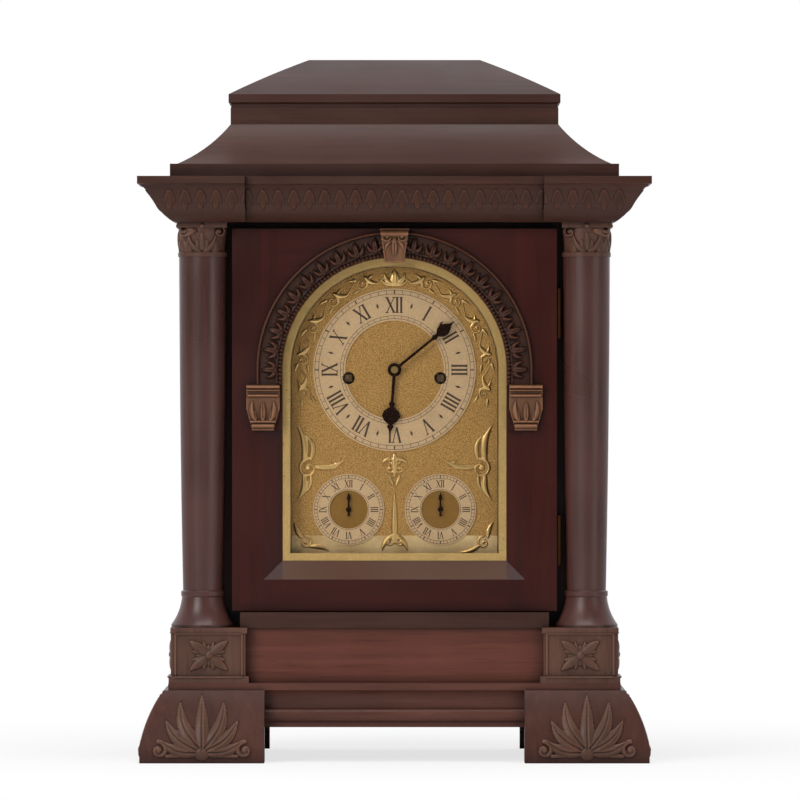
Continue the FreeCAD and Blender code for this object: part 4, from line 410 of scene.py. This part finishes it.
def line(start, end, width, height, taper=0.0, bend=0.0, steps=14):
    """A stroke of the gouge: round dabs (across, up, half width, height) from start to end."""
    dabs = []
    for share, across, up in stroke(start, end, bend, steps):
        swell = 1 - taper * share
        dabs.append((across, up, width * swell, height * swell))
    return dabs


def leaf(start, end, width, height, bend=0.0, steps=16):
    """A pointed leaf, widest a third of the way along."""
    dabs = []
    for share, across, up in stroke(start, end, bend, steps):
        swell = math.sin(math.pi * min(1.0, 0.12 + 0.88 * share) ** 0.75) ** 0.8
        dabs.append((across, up, max(0.12 * width, width * swell), height * (0.55 + 0.45 * swell)))
    return dabs


def scroll(middle, radius, turns, start, width, height, hand=1, steps=46):
    """A spiral that winds in to an eye."""
    dabs = []
    for number in range(steps + 1):
        share = number / steps
        angle = start + hand * 2 * math.pi * turns * share
        reach = radius * (1 - share) ** 0.9
        dabs.append(
            (
                middle[0] + reach * math.cos(angle),
                middle[1] + reach * math.sin(angle),
                width * (1 - 0.45 * share),
                height * (0.75 + 0.25 * share),
            )
        )
    dabs.append((middle[0], middle[1], width * 1.3, height * 1.1))
    return dabs


def heights(dabs, across, up, floor):
    """The height of the carving at each point of a grid."""
    field = np.full(across.shape, floor)
    for middle, level, width, high in dabs:
        near = np.sqrt(
            np.clip(1 - ((across - middle) ** 2 + (up - level) ** 2) / (width * width), 0, 1)
        )
        field = np.maximum(field, high * near)
    return field


def carved(
    name, size, step, dabs, put, body, slot, material, grooves=(), floor=0.0, back=-0.3, inside=None
):
    """A relief in closed mesh: size is (left, right, low, high) and put gives a point its place, in mm."""
    left, right, low, high = size
    columns = max(2, int(round((right - left) / step)) + 1)
    rows = max(2, int(round((high - low) / step)) + 1)
    across, up = np.meshgrid(np.linspace(left, right, columns), np.linspace(low, high, rows))
    field = heights(dabs, across, up, floor)
    if grooves:
        field = field - heights(grooves, across, up, 0.0)
        field = np.where(field < floor + 0.02, np.maximum(field, floor), field)
    kept = field > 0.08
    if inside is not None:
        kept &= inside(across, up)
    places = {}
    for row, column in zip(*np.nonzero(kept)):
        spot = put(float(across[row, column]), float(up[row, column]))
        if spot is not None:
            places[(row, column)] = spot
    verts, index, faces = [], {}, []
    for (row, column), (point, normal) in places.items():
        index[(row, column)] = len(verts)
        verts.append((point + normal * float(field[row, column])) * MM)
        verts.append((point + normal * back) * MM)
    edges = {}
    for row in range(rows - 1):
        for column in range(columns - 1):
            corners = [(row, column), (row, column + 1), (row + 1, column + 1), (row + 1, column)]
            if any(corner not in index for corner in corners):
                continue
            spread = [places[corner][0] for corner in corners]
            if max((spread[0] - spot).length for spot in spread) > 3.2 * step:
                continue
            tops = [index[corner] for corner in corners]
            faces.append(tops)
            faces.append([top + 1 for top in reversed(tops)])
            for first, second in zip(tops, tops[1:] + tops[:1]):
                if (second, first) in edges:
                    del edges[(second, first)]
                else:
                    edges[(first, second)] = True
    for first, second in edges:
        faces.append([second, first, first + 1, second + 1])
    used = sorted({corner for face in faces for corner in face})
    renumber = {old: new for new, old in enumerate(used)}
    mesh = bpy.data.meshes.new(name)
    mesh.from_pydata(
        [verts[old] for old in used], [], [[renumber[corner] for corner in face] for face in faces]
    )
    return finished(name, mesh, body, material)


def finished(name, mesh, body, material, smooth=True):
    """Links a mesh as a piece that rides on a body."""
    mesh.validate()
    if smooth:
        mesh.polygons.foreach_set("use_smooth", [True] * len(mesh.polygons))
    mesh.update()
    mesh.materials.append(MATERIALS[material])
    piece = bpy.data.objects.new(name, mesh)
    bpy.context.scene.collection.objects.link(piece)
    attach(piece, body)
    return piece


def flat(front):
    """Puts carving on an upright face that looks to the front, at y = front in mm."""

    def put(across, up):
        return Vector((across, front, up)), Vector((0, -1, 0))

    return put


def arch(radius, front, middle=DIAL_Z / MM):
    """Bends carving round the dial's centre; across is measured along the arc from its top."""

    def put(across, up):
        angle = across / radius
        reach = radius + up
        return (
            Vector((reach * math.sin(angle), front, middle + reach * math.cos(angle))),
            Vector((0, -1, 0)),
        )

    return put


def on_surface(node_name, side):
    """Lays carving on a CAD node's own surface, seen from the front, the left or the right."""
    mesh = NODES[node_name].data
    tree = BVHTree.FromPolygons(
        [vertex.co / MM for vertex in mesh.vertices], [list(face.vertices) for face in mesh.polygons]
    )
    way = Vector({"front": (0, 1, 0), "left": (1, 0, 0), "right": (-1, 0, 0)}[side])

    def put(across, up):
        start = {
            "front": (across, -OUTSIDE, up),
            "left": (-OUTSIDE, -across, up),
            "right": (OUTSIDE, across, up),
        }[side]
        point, normal, _, _ = tree.ray_cast(Vector(start), way)
        if point is None:
            return None
        if normal.dot(way) > 0:
            normal = -normal
        return point, normal

    return put


def arch_leaves():
    """The band round the arch: a row of leaves between a string of beads and a roll."""
    radius = ARCH_RADIUS
    count = 20
    half = math.pi * radius / 2
    pitch = 2 * half / count
    dabs, grooves = [], []
    leg = 11.0
    dabs += line((-half - leg, 8.4), (half + leg, 8.4), 1.4, 4.6, steps=700)
    dabs += line((-half - leg, -5.6), (half + leg, -5.6), 0.7, 3.4, steps=900)
    for number in range(count + 1):
        middle = -half + pitch * number
        dabs += leaf((middle, -4.5), (middle, 6.6), 2.9, 5.8)
        for side in (-1, 1):
            dabs += leaf((middle + side * 1.2, -4.2), (middle + side * 5.2, 3.6), 1.9, 4.8, side * -0.2)
            dabs += leaf((middle + side * 2.0, -4.4), (middle + side * 6.4, -0.8), 1.3, 4.0, side * -0.15)
        grooves += line((middle, -3.5), (middle, 5.4), 0.55, 1.6, steps=30)
    bead = 3.1
    for number in range(int((half + leg) * 2 / bead)):
        dabs.append((-half - leg + bead * (number + 0.5), -7.7, 1.5, 4.4))
    piece = carved(
        "carved_arch_leaves",
        (-half - leg, half + leg, -9.4, 9.4),
        0.55,
        dabs,
        arch_with_legs(radius, DOOR_FACE),
        "front_door",
        "carved_oak",
        "oak_carved_door",
        grooves,
        floor=1.6,
        back=0.0,
    )
    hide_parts("door_arch_band")


def arch_with_legs(radius, front):
    """As arch, but past each springing the band runs straight down."""
    half = math.pi * radius / 2
    bent = arch(radius, front)

    def put(across, up):
        if abs(across) <= half:
            return bent(across, up)
        side = math.copysign(1, across)
        drop = abs(across) - half
        return Vector((side * (radius + up), front, DIAL_Z / MM - drop)), Vector((0, -1, 0))

    return put


def keystone_and_imposts():
    """The console over the arch and the carved blocks at its springing."""
    stone = []
    stone += line((-9.5, 382.6), (9.5, 382.6), 3.4, 10.6, steps=30)
    stone += scroll((-5.2, 380.5), 4.2, 1.4, math.pi * 0.6, 1.6, 9.0, 1)
    stone += scroll((5.2, 380.5), 4.2, 1.4, math.pi * 0.4, 1.6, 9.0, -1)
    stone += leaf((0, 379), (0, 363), 4.2, 9.0)
    for side in (-1, 1):
        stone += leaf((side * 1.5, 378), (side * 6.2, 367), 2.4, 7.6, side * 0.2)
        stone += line((side * 8.6, 378), (side * 6.6, 363), 0.9, 7.6)

    def in_stone(across, up):
        share = (up - 362) / 24.5
        return np.abs(across) < 7.4 + 3.4 * share

    keystone = carved(
        "carved_keystone",
        (-11.0, 11.0, 362.0, 386.4),
        0.45,
        stone,
        flat(DOOR_FACE),
        "front_door",
        "carved_oak",
        "oak_carved_stone",
        [dab for side in (-1, 0, 1) for dab in line((side * 2.4, 376), (side * 2.2, 366), 0.5, 1.2)],
        floor=6.2,
        back=0.0,
        inside=in_stone,
    )
    pieces = [keystone]
    for word, side in SIDES:
        middle = side * IMPOST_X
        block = []
        block += line((middle - 12, 271.4), (middle + 12, 271.4), 1.7, 7.8, steps=50)
        block += line((middle - 12, 269.0), (middle + 12, 269.0), 1.2, 6.4, steps=50)
        block += line((middle - 10.5, 265.2), (middle + 10.5, 265.2), 1.5, 7.0, steps=44)
        for shift, bend in ((-7, 0.12), (0, 0.0), (7, -0.12)):
            block += leaf((middle + shift * 0.75, 247), (middle + shift, 263), 3.1, 7.4, bend)
        block += line((middle - 9.5, 246.2), (middle + 9.5, 246.2), 1.5, 6.6, steps=44)
        block += line((middle - 7, 243.2), (middle + 7, 243.2), 2.2, 7.6, steps=36)
        grooves = []
        for shift in (-7, 0, 7):
            grooves += line((middle + shift * 0.8, 249), (middle + shift, 261), 0.45, 1.4)

        def in_block(across, up, centre=middle):
            reach = np.where(up < 255, 8.0 + 4.0 * np.clip((up - 240) / 14.8, 0, 1), 12.0)
            return np.abs(across - centre) <= reach

        pieces.append(
            carved(
                f"carved_impost_{word}",
                (middle - 12, middle + 12, 240.0, 273.0),
                0.45,
                block,
                flat(DOOR_FACE),
                "front_door",
                "carved_oak",
                "oak_carved_stone",
                grooves,
                floor=4.0,
                back=0.0,
                inside=in_block,
            )
        )
    for piece in pieces:
        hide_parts("door_carvings")


def pedestal_leaves():
    """Four leaves and a boss in a sunk border on the front and side of each pedestal."""
    level = PEDESTAL_LEVEL
    for word, side in SIDES:
        for face, view, centre in (
            ("front", "front", side * PEDESTAL_X),
            ("side", word, -side * PEDESTAL_Y),
        ):
            dabs = []
            for turn in (45, 135, 225, 315):
                angle = math.radians(turn)
                far = (centre + 20 * math.cos(angle), level + 15.5 * math.sin(angle))
                near = (centre + 3 * math.cos(angle), level + 2.5 * math.sin(angle))
                dabs += leaf(near, far, 3.8, 2.6)
                for lean in (-0.5, 0.5):
                    tip = (
                        centre + 13.5 * math.cos(angle + lean),
                        level + 11.5 * math.sin(angle + lean),
                    )
                    dabs += leaf(near, tip, 2.0, 1.8)
            for turn in (0, 90, 180, 270):
                angle = math.radians(turn)
                tip = (centre + 11 * math.cos(angle), level + 9 * math.sin(angle))
                dabs += leaf((centre, level), tip, 1.6, 1.5)
            dabs.append((centre, level, 3.6, 3.2))
            wide, high = 24, 15.5
            for hand in (-1, 1):
                edge, rim = centre + hand * wide, level + hand * high
                dabs += line((centre - wide, rim), (centre + wide, rim), 1.1, 1.1, steps=70)
                dabs += line((edge, level - high), (edge, level + high), 1.1, 1.1, steps=70)
            carved(
                f"carved_pedestal_{word}_{face}",
                (centre - 26, centre + 26, 58.5, 95.5),
                0.55,
                dabs,
                on_surface("front_pedestals", view),
                "case",
                "carved_oak",
                "oak_carved",
            )


def feet_leaves():
    """A fan of leaves over a pair of scrolls on the front and side of each front foot."""
    for word, side in SIDES:
        views = (
            ("front", "front", side * FOOT_X, 2.0),
            ("side", word, -side * FOOT_Y, 1.3),
        )
        for face, view, middle, relief in views:
            dabs, grooves = [], []
            for degrees, long, wide in ((22, 42, 5.6), (46, 37, 5.2), (70, 33, 4.4)):
                for hand in (-1, 1):
                    turn = math.radians(degrees) * hand
                    near = (middle + 5 * math.sin(turn), 6 + 5 * math.cos(turn))
                    far = (middle + long * math.sin(turn), 6 + long * math.cos(turn))
                    dabs += leaf(near, far, wide, relief, -0.12 * hand)
                    grooves += line(near, far, 0.8, relief * 0.5, 0.6, -0.12 * hand, 90)
            dabs += leaf((middle, 8), (middle, 50), 5.6, relief * 1.05)
            grooves += line((middle, 10), (middle, 46), 0.8, relief * 0.5, 0.6, steps=90)
            for hand in (-1, 1):
                centre = (middle + hand * 31, 9.5)
                dabs += scroll(centre, 6.0, 1.3, math.pi / 2, 2.0, relief, hand)
                dabs += line((middle + hand * 25, 5), (middle + hand * 5, 6), 1.8, relief * 0.8, 0.2)
            dabs.append((middle, 7.0, 5.5, relief * 1.05))
            carved(
                f"carved_foot_{word}_{face}",
                (middle - 43, middle + 43, 1.5, 50.5),
                0.6,
                dabs,
                on_surface("feet", view),
                "case",
                "carved_oak",
                "oak_carved",
                grooves,
            )


def cornice_leaves():
    """A row of small leaves on the leaning face of the cornice."""
    for view, left, right in (
        ("front", -168.0, 168.0),
        ("left", -108.0, 118.0),
        ("right", -118.0, 108.0),
    ):
        dabs = []
        count = round((right - left) / 11.2)
        pitch = (right - left) / count
        for number in range(count):
            middle = left + pitch * (number + 0.5)
            dabs += leaf((middle, 412.5), (middle, 398.5), 3.4, 1.0)
            for side in (-1, 1):
                dabs += leaf((middle + side * 1.4, 412), (middle + side * 4.6, 402.5), 1.7, 0.8)
        carved(
            f"carved_cornice_{view}",
            (left, right, 397.0, 414.0),
            0.7,
            dabs,
            on_surface("cornice", view),
            "case",
            "carved_oak",
            "oak_carved_door",
        )


def capital_leaves():
    """Leaves round each capital and a volute at each corner of its slab."""
    for word, side in SIDES:
        centre = side * CAPITAL_X
        for number, (view, middle) in enumerate(capital_middles(centre).items()):
            if view not in ("front", word):
                continue
            dabs = []
            for hand in (-1, 1):
                dabs += scroll(
                    (middle + hand * 12.6, 384.2), 4.4, 1.3, math.pi * 0.5, 1.4, 3.4, -hand
                )
                dabs += leaf((middle + hand * 2, 370), (middle + hand * 10, 383), 2.2, 2.4, hand * -0.15)
            for shift in (-10.5, -3.6, 3.6, 10.5):
                dabs += leaf((middle + shift * 0.9, 367.5), (middle + shift, 379), 3.0, 2.0)
            dabs += leaf((middle, 372), (middle, 385), 2.6, 2.4)
            dabs.append((middle, 388.5, 2.4, 2.6))
            carved(
                f"carved_capital_{word}_{number}",
                (middle - 17.2, middle + 17.2, 367.0, 390.8),
                0.5,
                dabs,
                capital_face(view, centre),
                "case",
                "carved_oak",
                "oak_carved",
                back=-3.5,
            )


def capital_middles(centre):
    """Where the middle of each face of a capital lies, across its view."""
    return {"front": centre, "left": CAPITAL_Y, "right": -CAPITAL_Y}


def capital_face(view, centre):
    """A face bowed round the capital, wider at its top, that meets its neighbour at the corners."""
    middle = capital_middles(centre)[view]

    def put(across, up):
        share = min(1.0, max(0.0, (up - 368) / 20))
        bow = 15.2 + 1.6 * share
        offset = across - middle
        depth = math.sqrt(max(0.0, CAPITAL_BEND**2 - offset**2)) - CAPITAL_BEND + bow
        if view == "front":
            return Vector((across, -CAPITAL_Y - depth, up)), Vector((0, -1, 0))
        if view == "left":
            return Vector((centre - depth, -across, up)), Vector((-1, 0, 0))
        return Vector((centre + depth, across, up)), Vector((1, 0, 0))

    return put


# --- dial ------------------------------------------------------------------


def marks(name, outlines):
    """Flat shapes of wax, each a list of (x, z) in mm, a little proud of a ring's face."""
    front, thick = RING_FACE / MM + 0.05, 0.17
    verts, faces = [], []
    for outline in outlines:
        first = len(verts)
        count = len(outline)
        verts += [(x * MM, front * MM, z * MM) for x, z in outline]
        verts += [(x * MM, (front - thick) * MM, z * MM) for x, z in outline]
        faces.append([first + number for number in range(count)])
        faces.append([first + count + number for number in reversed(range(count))])
        for number in range(count):
            after = (number + 1) % count
            faces.append(
                [first + after, first + number, first + count + number, first + count + after]
            )
    mesh = bpy.data.meshes.new(name)
    mesh.from_pydata(verts, [], faces)
    finished(name, mesh, "case", "wax", smooth=False)


def bar(start, end, width):
    """A straight stroke as an outline."""
    across, up = end[0] - start[0], end[1] - start[1]
    long = math.hypot(across, up)
    side = (-up / long * width / 2, across / long * width / 2)
    return [
        (start[0] - side[0], start[1] - side[1]),
        (end[0] - side[0], end[1] - side[1]),
        (end[0] + side[0], end[1] + side[1]),
        (start[0] + side[0], start[1] + side[1]),
    ]


def turned_to(outlines, angle, radius, middle):
    """Stands outlines on the circle of a dial, feet to its centre, clockwise from the top."""
    turn = math.radians(angle)
    moved = []
    for outline in outlines:
        points = []
        for x, z in outline:
            z = z + radius
            points.append(
                (
                    middle[0] + x * math.cos(turn) + z * math.sin(turn),
                    middle[1] - x * math.sin(turn) + z * math.cos(turn),
                )
            )
        moved.append(points)
    return moved


def ring_bars(radius, width, middle, steps=120):
    """A thin circle as a chain of flat quads."""
    outlines = []
    for number in range(steps):
        points = []
        for reach, step in (
            (radius - width / 2, number),
            (radius - width / 2, number + 1),
            (radius + width / 2, number + 1),
            (radius + width / 2, number),
        ):
            angle = 2 * math.pi * step / steps
            points.append((middle[0] + reach * math.sin(angle), middle[1] + reach * math.cos(angle)))
        outlines.append(points)
    return outlines


def roman(text, high):
    """Strokes of a plain numeral, centred, with serifs."""
    thick, thin = high * 0.135, high * 0.06
    widths = {"I": high * 0.27, "V": high * 0.62, "X": high * 0.62}
    whole = sum(widths[letter] for letter in text)
    left = -whole / 2
    strokes = []
    half = high / 2
    for letter in text:
        wide = widths[letter]
        middle = left + wide / 2
        reach = wide / 2 - thick * 0.55
        if letter == "I":
            strokes.append(bar((middle, -half), (middle, half), thick))
            feet = ((middle, -half), (middle, half))
        elif letter == "V":
            strokes.append(bar((middle - reach, half), (middle, -half), thick))
            strokes.append(bar((middle + reach, half), (middle, -half), thin))
            feet = ((middle - reach, half), (middle + reach, half))
        else:
            strokes.append(bar((middle - reach, half), (middle + reach, -half), thick))
            strokes.append(bar((middle + reach, half), (middle - reach, -half), thin))
            feet = tuple(
                (middle + side * reach, level) for side in (-1, 1) for level in (-half, half)
            )
        for x, z in feet:
            strokes.append(bar((x - thick * 0.75, z), (x + thick * 0.75, z), thin))
        left += wide
    return strokes


def numerals(high, radius, middle):
    """The twelve hours round a dial."""
    outlines = []
    for number, text in enumerate(HOURS):
        outlines += turned_to(roman(text, high), 30 * number, radius, middle)
    return outlines


def ticks(count, radius, long, middle, fine, bold=None):
    """Short strokes round a dial; where bold is given, it is the width of every fifth one."""
    outlines = []
    for number in range(count):
        width = bold if bold and number % 5 == 0 else fine
        tick = bar((0, -long / 2), (0, long / 2), width)
        outlines += turned_to([tick], 360 / count * number, radius, middle)
    return outlines


def hour_numerals():
    """Numerals, minute marks, half-hour diamonds and quarter marks between circles on the hour ring."""
    middle = (0.0, DIAL_Z / MM)
    outlines = numerals(11.0, 47.4, middle) + ticks(60, 56.8, 2.6, middle, 0.36, 0.9)
    for radius in (55.4, 58.2, 37.4, 39.6):
        outlines += ring_bars(radius, 0.3, middle)
    diamond = [(-0.9, 0), (0, -2.4), (0.9, 0), (0, 2.4)]
    for number in range(12):
        outlines += turned_to([diamond], 30 * number + 15, 48.0, middle)
    outlines += ticks(48, 38.5, 2.2, middle, 0.3)
    marks("hour_numerals", outlines)


def small_numerals():
    """Circles, ticks and numerals on the two small dials."""
    for word, side in (("strike", -1), ("regulation", 1)):
        middle = (side * SMALL_X / MM, SMALL_Z / MM)
        outlines = []
        for radius in (25.1, 22.9, 14.8):
            outlines += ring_bars(radius, 0.28, middle, 90)
        outlines += ticks(60, 24.0, 2.0, middle, 0.3, 0.7) + numerals(5.2, 18.9, middle)
        marks(f"{word}_numerals", outlines)


def dial_scrollwork():
    """Cast scrolls and leaves round the hour ring and between the small dials."""
    radius = SCROLL_RADIUS
    dabs = []
    for hand in (-1, 1):
        for first, size in ((21, 1.0), (42, 1.0), (63, 1.0), (84, 0.95), (105, 0.85)):
            middle = hand * math.radians(first) * radius
            dabs += scroll((middle, 0.0), 4.8 * size, 1.35, math.pi * (0.5 + 0.4 * hand), 1.0, 1.7, hand)
            dabs += leaf((middle - hand * 4, 3.4), (middle - hand * 14, -3.2), 2.1, 1.6, hand * 0.18)
            dabs += leaf((middle - hand * 3, -3.6), (middle - hand * 12, 3.8), 1.7, 1.4, hand * -0.2)
            dabs += leaf((middle + hand * 3, 3.8), (middle + hand * 9, 5.4), 1.3, 1.2)
            dabs += leaf((middle + hand * 3, -3.8), (middle + hand * 10, -5.0), 1.3, 1.2)
            dabs += line((middle - hand * 12, -3.0), (middle - hand * 22, 3.0), 0.9, 1.3, 0.3)
    dabs += leaf((0, -5.5), (0, 6.0), 4.0, 1.9)
    for hand in (-1, 1):
        dabs += leaf((hand * 1.0, -5), (hand * 7.5, 4.6), 2.4, 1.7, hand * -0.15)
        dabs += leaf((hand * 1.0, -5), (hand * 10.5, -0.5), 2.0, 1.5, hand * -0.15)
    grooves = line((0, -4), (0, 4.6), 0.35, 0.7)
    reach = math.radians(120) * radius
    ring = carved(
        "dial_arch_scrolls",
        (-reach, reach, -6.6, 6.6),
        0.4,
        dabs,
        arch(radius, DIAL_FACE / MM),
        "case",
        "gilt_brass",
        "gilt",
        grooves,
        back=0.05,
    )
    low = []
    for hand in (-1, 1):
        low += scroll((hand * 3.6, 212), 4.2, 1.3, math.pi * 0.5, 1.1, 1.7, hand)
        low += leaf((hand * 1, 219), (hand * 10, 214), 1.8, 1.5, hand * 0.2)
        low += leaf((hand * 1.2, 200), (hand * 4.4, 208), 1.6, 1.5)
        low += leaf((hand * 2, 163), (hand * 9.5, 151), 2.2, 1.6, hand * 0.1)
        low += scroll((hand * 4.0, 158), 3.4, 1.2, math.pi * 0.5, 0.9, 1.5, hand)
        low += scroll((hand * 63, 212), 7.0, 1.6, math.pi * 0.5, 1.5, 1.8, -hand)
        low += scroll((hand * 45, 214), 3.4, 1.2, math.pi * 0.5, 1.0, 1.5, hand)
        low += leaf((hand * 66, 218), (hand * 73, 246), 3.0, 1.8, hand * 0.12)
        low += leaf((hand * 61, 219), (hand * 67, 238), 2.2, 1.6, hand * 0.2)
        low += leaf((hand * 58, 213), (hand * 34, 220), 2.4, 1.6, hand * 0.12)
        low += leaf((hand * 66, 206), (hand * 72, 188), 2.6, 1.7, hand * -0.14)
        low += leaf((hand * 61, 206), (hand * 65, 194), 1.8, 1.5, hand * -0.1)
        low += scroll((hand * 65, 158), 4.6, 1.4, math.pi * 0.5, 1.2, 1.7, hand)
        low += leaf((hand * 68, 162), (hand * 73, 174), 2.2, 1.6, 0.1)
        low += leaf((hand * 61, 155), (hand * 47, 151), 2.0, 1.5, 0.1)
    low += leaf((0, 158), (0, 198), 2.4, 1.8, steps=40)
    low += leaf((0, 222), (0, 204), 2.6, 1.9)
    panel = carved(
        "dial_low_scrolls",
        (-74.6, 74.6, 147.0, 250.0),
        0.45,
        low,
        flat(DIAL_FACE / MM),
        "case",
        "gilt_brass",
        "gilt",
        back=0.05,
        inside=clear_of_small_dials,
    )
    for piece in (ring, panel):
        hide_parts("dial_ornaments")


def clear_of_small_dials(across, up):
    reach = np.hypot(np.abs(across) - SMALL_X / MM, up - SMALL_Z / MM)
    ring = np.hypot(across, up - DIAL_Z / MM)
    return (reach > 26.6) & (ring > 60.0)


arch_leaves()
keystone_and_imposts()
pedestal_leaves()
feet_leaves()
cornice_leaves()
capital_leaves()
hour_numerals()
small_numerals()
dial_scrollwork()


# --- stage -----------------------------------------------------------------


def seen_rays(tree):
    """1 on the rays of the camera, also behind glass."""
    path = tree.nodes.new("ShaderNodeLightPath")
    seen = tree.nodes.new("ShaderNodeMath")
    seen.operation = "MAXIMUM"
    tree.links.new(path.outputs["Is Camera Ray"], seen.inputs[0])
    tree.links.new(path.outputs["Is Transmission Ray"], seen.inputs[1])
    return seen.outputs[0]


def map_range(tree, value, before, after):
    """Carries a value over from one span to another."""
    node = tree.nodes.new("ShaderNodeMapRange")
    for name, number in zip(("From Min", "From Max", "To Min", "To Max"), (*before, *after)):
        node.inputs[name].default_value = number
    tree.links.new(value, node.inputs["Value"])
    return node


def mix_out(tree, share, first, second, kind):
    """Mixes two shaders into a new output of the tree."""
    mix = tree.nodes.new("ShaderNodeMixShader")
    for number, source in enumerate((share, first, second)):
        tree.links.new(source, mix.inputs[number])
    tree.links.new(mix.outputs[0], tree.nodes.new(kind).inputs["Surface"])


def make_floor():
    """A floor that is white to the camera away from the clock, and keeps the clock's soft shadow."""
    reach = 9.0
    mesh = bpy.data.meshes.new("floor")
    mesh.from_pydata(
        [(-reach, -reach, 0), (reach, -reach, 0), (reach, reach, 0), (-reach, reach, 0)],
        [],
        [(0, 1, 2, 3)],
    )
    floor = bpy.data.objects.new("floor", mesh)
    bpy.context.scene.collection.objects.link(floor)
    material = bpy.data.materials.new("floor")
    material.use_nodes = True
    tree = material.node_tree
    tree.nodes.clear()
    diffuse = tree.nodes.new("ShaderNodeBsdfDiffuse")
    diffuse.inputs["Color"].default_value = grey(0.8)
    white = tree.nodes.new("ShaderNodeEmission")
    white.inputs["Strength"].default_value = 1.0
    place = tree.nodes.new("ShaderNodeTexCoord")
    away = tree.nodes.new("ShaderNodeVectorMath")
    away.operation = "LENGTH"
    tree.links.new(place.outputs["Object"], away.inputs[0])
    plain = map_range(tree, away.outputs["Value"], SHADOW_REACH, (SHADOW_TONE, 1.0))
    plain.interpolation_type = "SMOOTHSTEP"
    share = tree.nodes.new("ShaderNodeMath")
    share.operation = "MULTIPLY"
    tree.links.new(seen_rays(tree), share.inputs[0])
    tree.links.new(plain.outputs["Result"], share.inputs[1])
    mix_out(tree, share.outputs[0], diffuse.outputs[0], white.outputs[0], "ShaderNodeOutputMaterial")
    mesh.materials.append(material)


def make_world():
    """White behind the clock, and a darker room in front of it for the polish to reflect."""
    world = bpy.data.worlds.new("studio")
    bpy.context.scene.world = world
    world.use_nodes = True
    tree = world.node_tree
    tree.nodes.clear()
    place = tree.nodes.new("ShaderNodeTexCoord")
    parts = tree.nodes.new("ShaderNodeSeparateXYZ")
    tree.links.new(place.outputs["Generated"], parts.inputs[0])
    room = map_range(tree, parts.outputs["Y"], (-0.5, 0.45), (ROOM_TONE, 1.0))
    plain = tree.nodes.new("ShaderNodeBackground")
    plain.inputs["Color"].default_value = grey(1.0)
    plain.inputs["Strength"].default_value = 1.0
    soft = tree.nodes.new("ShaderNodeBackground")
    soft.inputs["Color"].default_value = (0.96, 0.97, 1.0, 1.0)
    tree.links.new(room.outputs["Result"], soft.inputs["Strength"])
    mix_out(tree, seen_rays(tree), soft.outputs[0], plain.outputs[0], "ShaderNodeOutputWorld")


def add_lamp(name, place, aim, size, power):
    lamp = bpy.data.lights.new(name, "AREA")
    lamp.shape = "RECTANGLE"
    lamp.size, lamp.size_y = size
    lamp.energy = power
    thing = bpy.data.objects.new(name, lamp)
    thing.location = place
    thing.rotation_euler = (Vector(aim) - Vector(place)).to_track_quat("-Z", "Y").to_euler()
    bpy.context.scene.collection.objects.link(thing)


def make_camera():
    """Square on to the front, at the height of the middle of the picture, through a long lens."""
    data = bpy.data.cameras.new("camera")
    frame_width, distance, front = 0.5795, 5.4, -0.1
    aside, level = 0.004, 0.262
    sensor = 36.0
    data.sensor_width = sensor
    data.lens = sensor * distance / frame_width
    camera = bpy.data.objects.new("camera", data)
    camera.location = (aside, front - distance, level)
    camera.rotation_euler = (math.pi / 2, 0.0, 0.0)
    bpy.context.scene.collection.objects.link(camera)
    bpy.context.scene.camera = camera


make_floor()
make_world()
add_lamp("key", (-1.15, -1.9, 1.15), (0, 0, 0.27), (1.1, 1.1), 27)
add_lamp("fill", (1.7, -1.5, 0.6), (0, 0, 0.26), (1.0, 1.4), 6)
add_lamp("top", (0.0, -0.5, 1.9), (0, 0, 0.3), (1.4, 0.8), 20)
make_camera()
bpy.context.scene.view_settings.view_transform = "Standard"
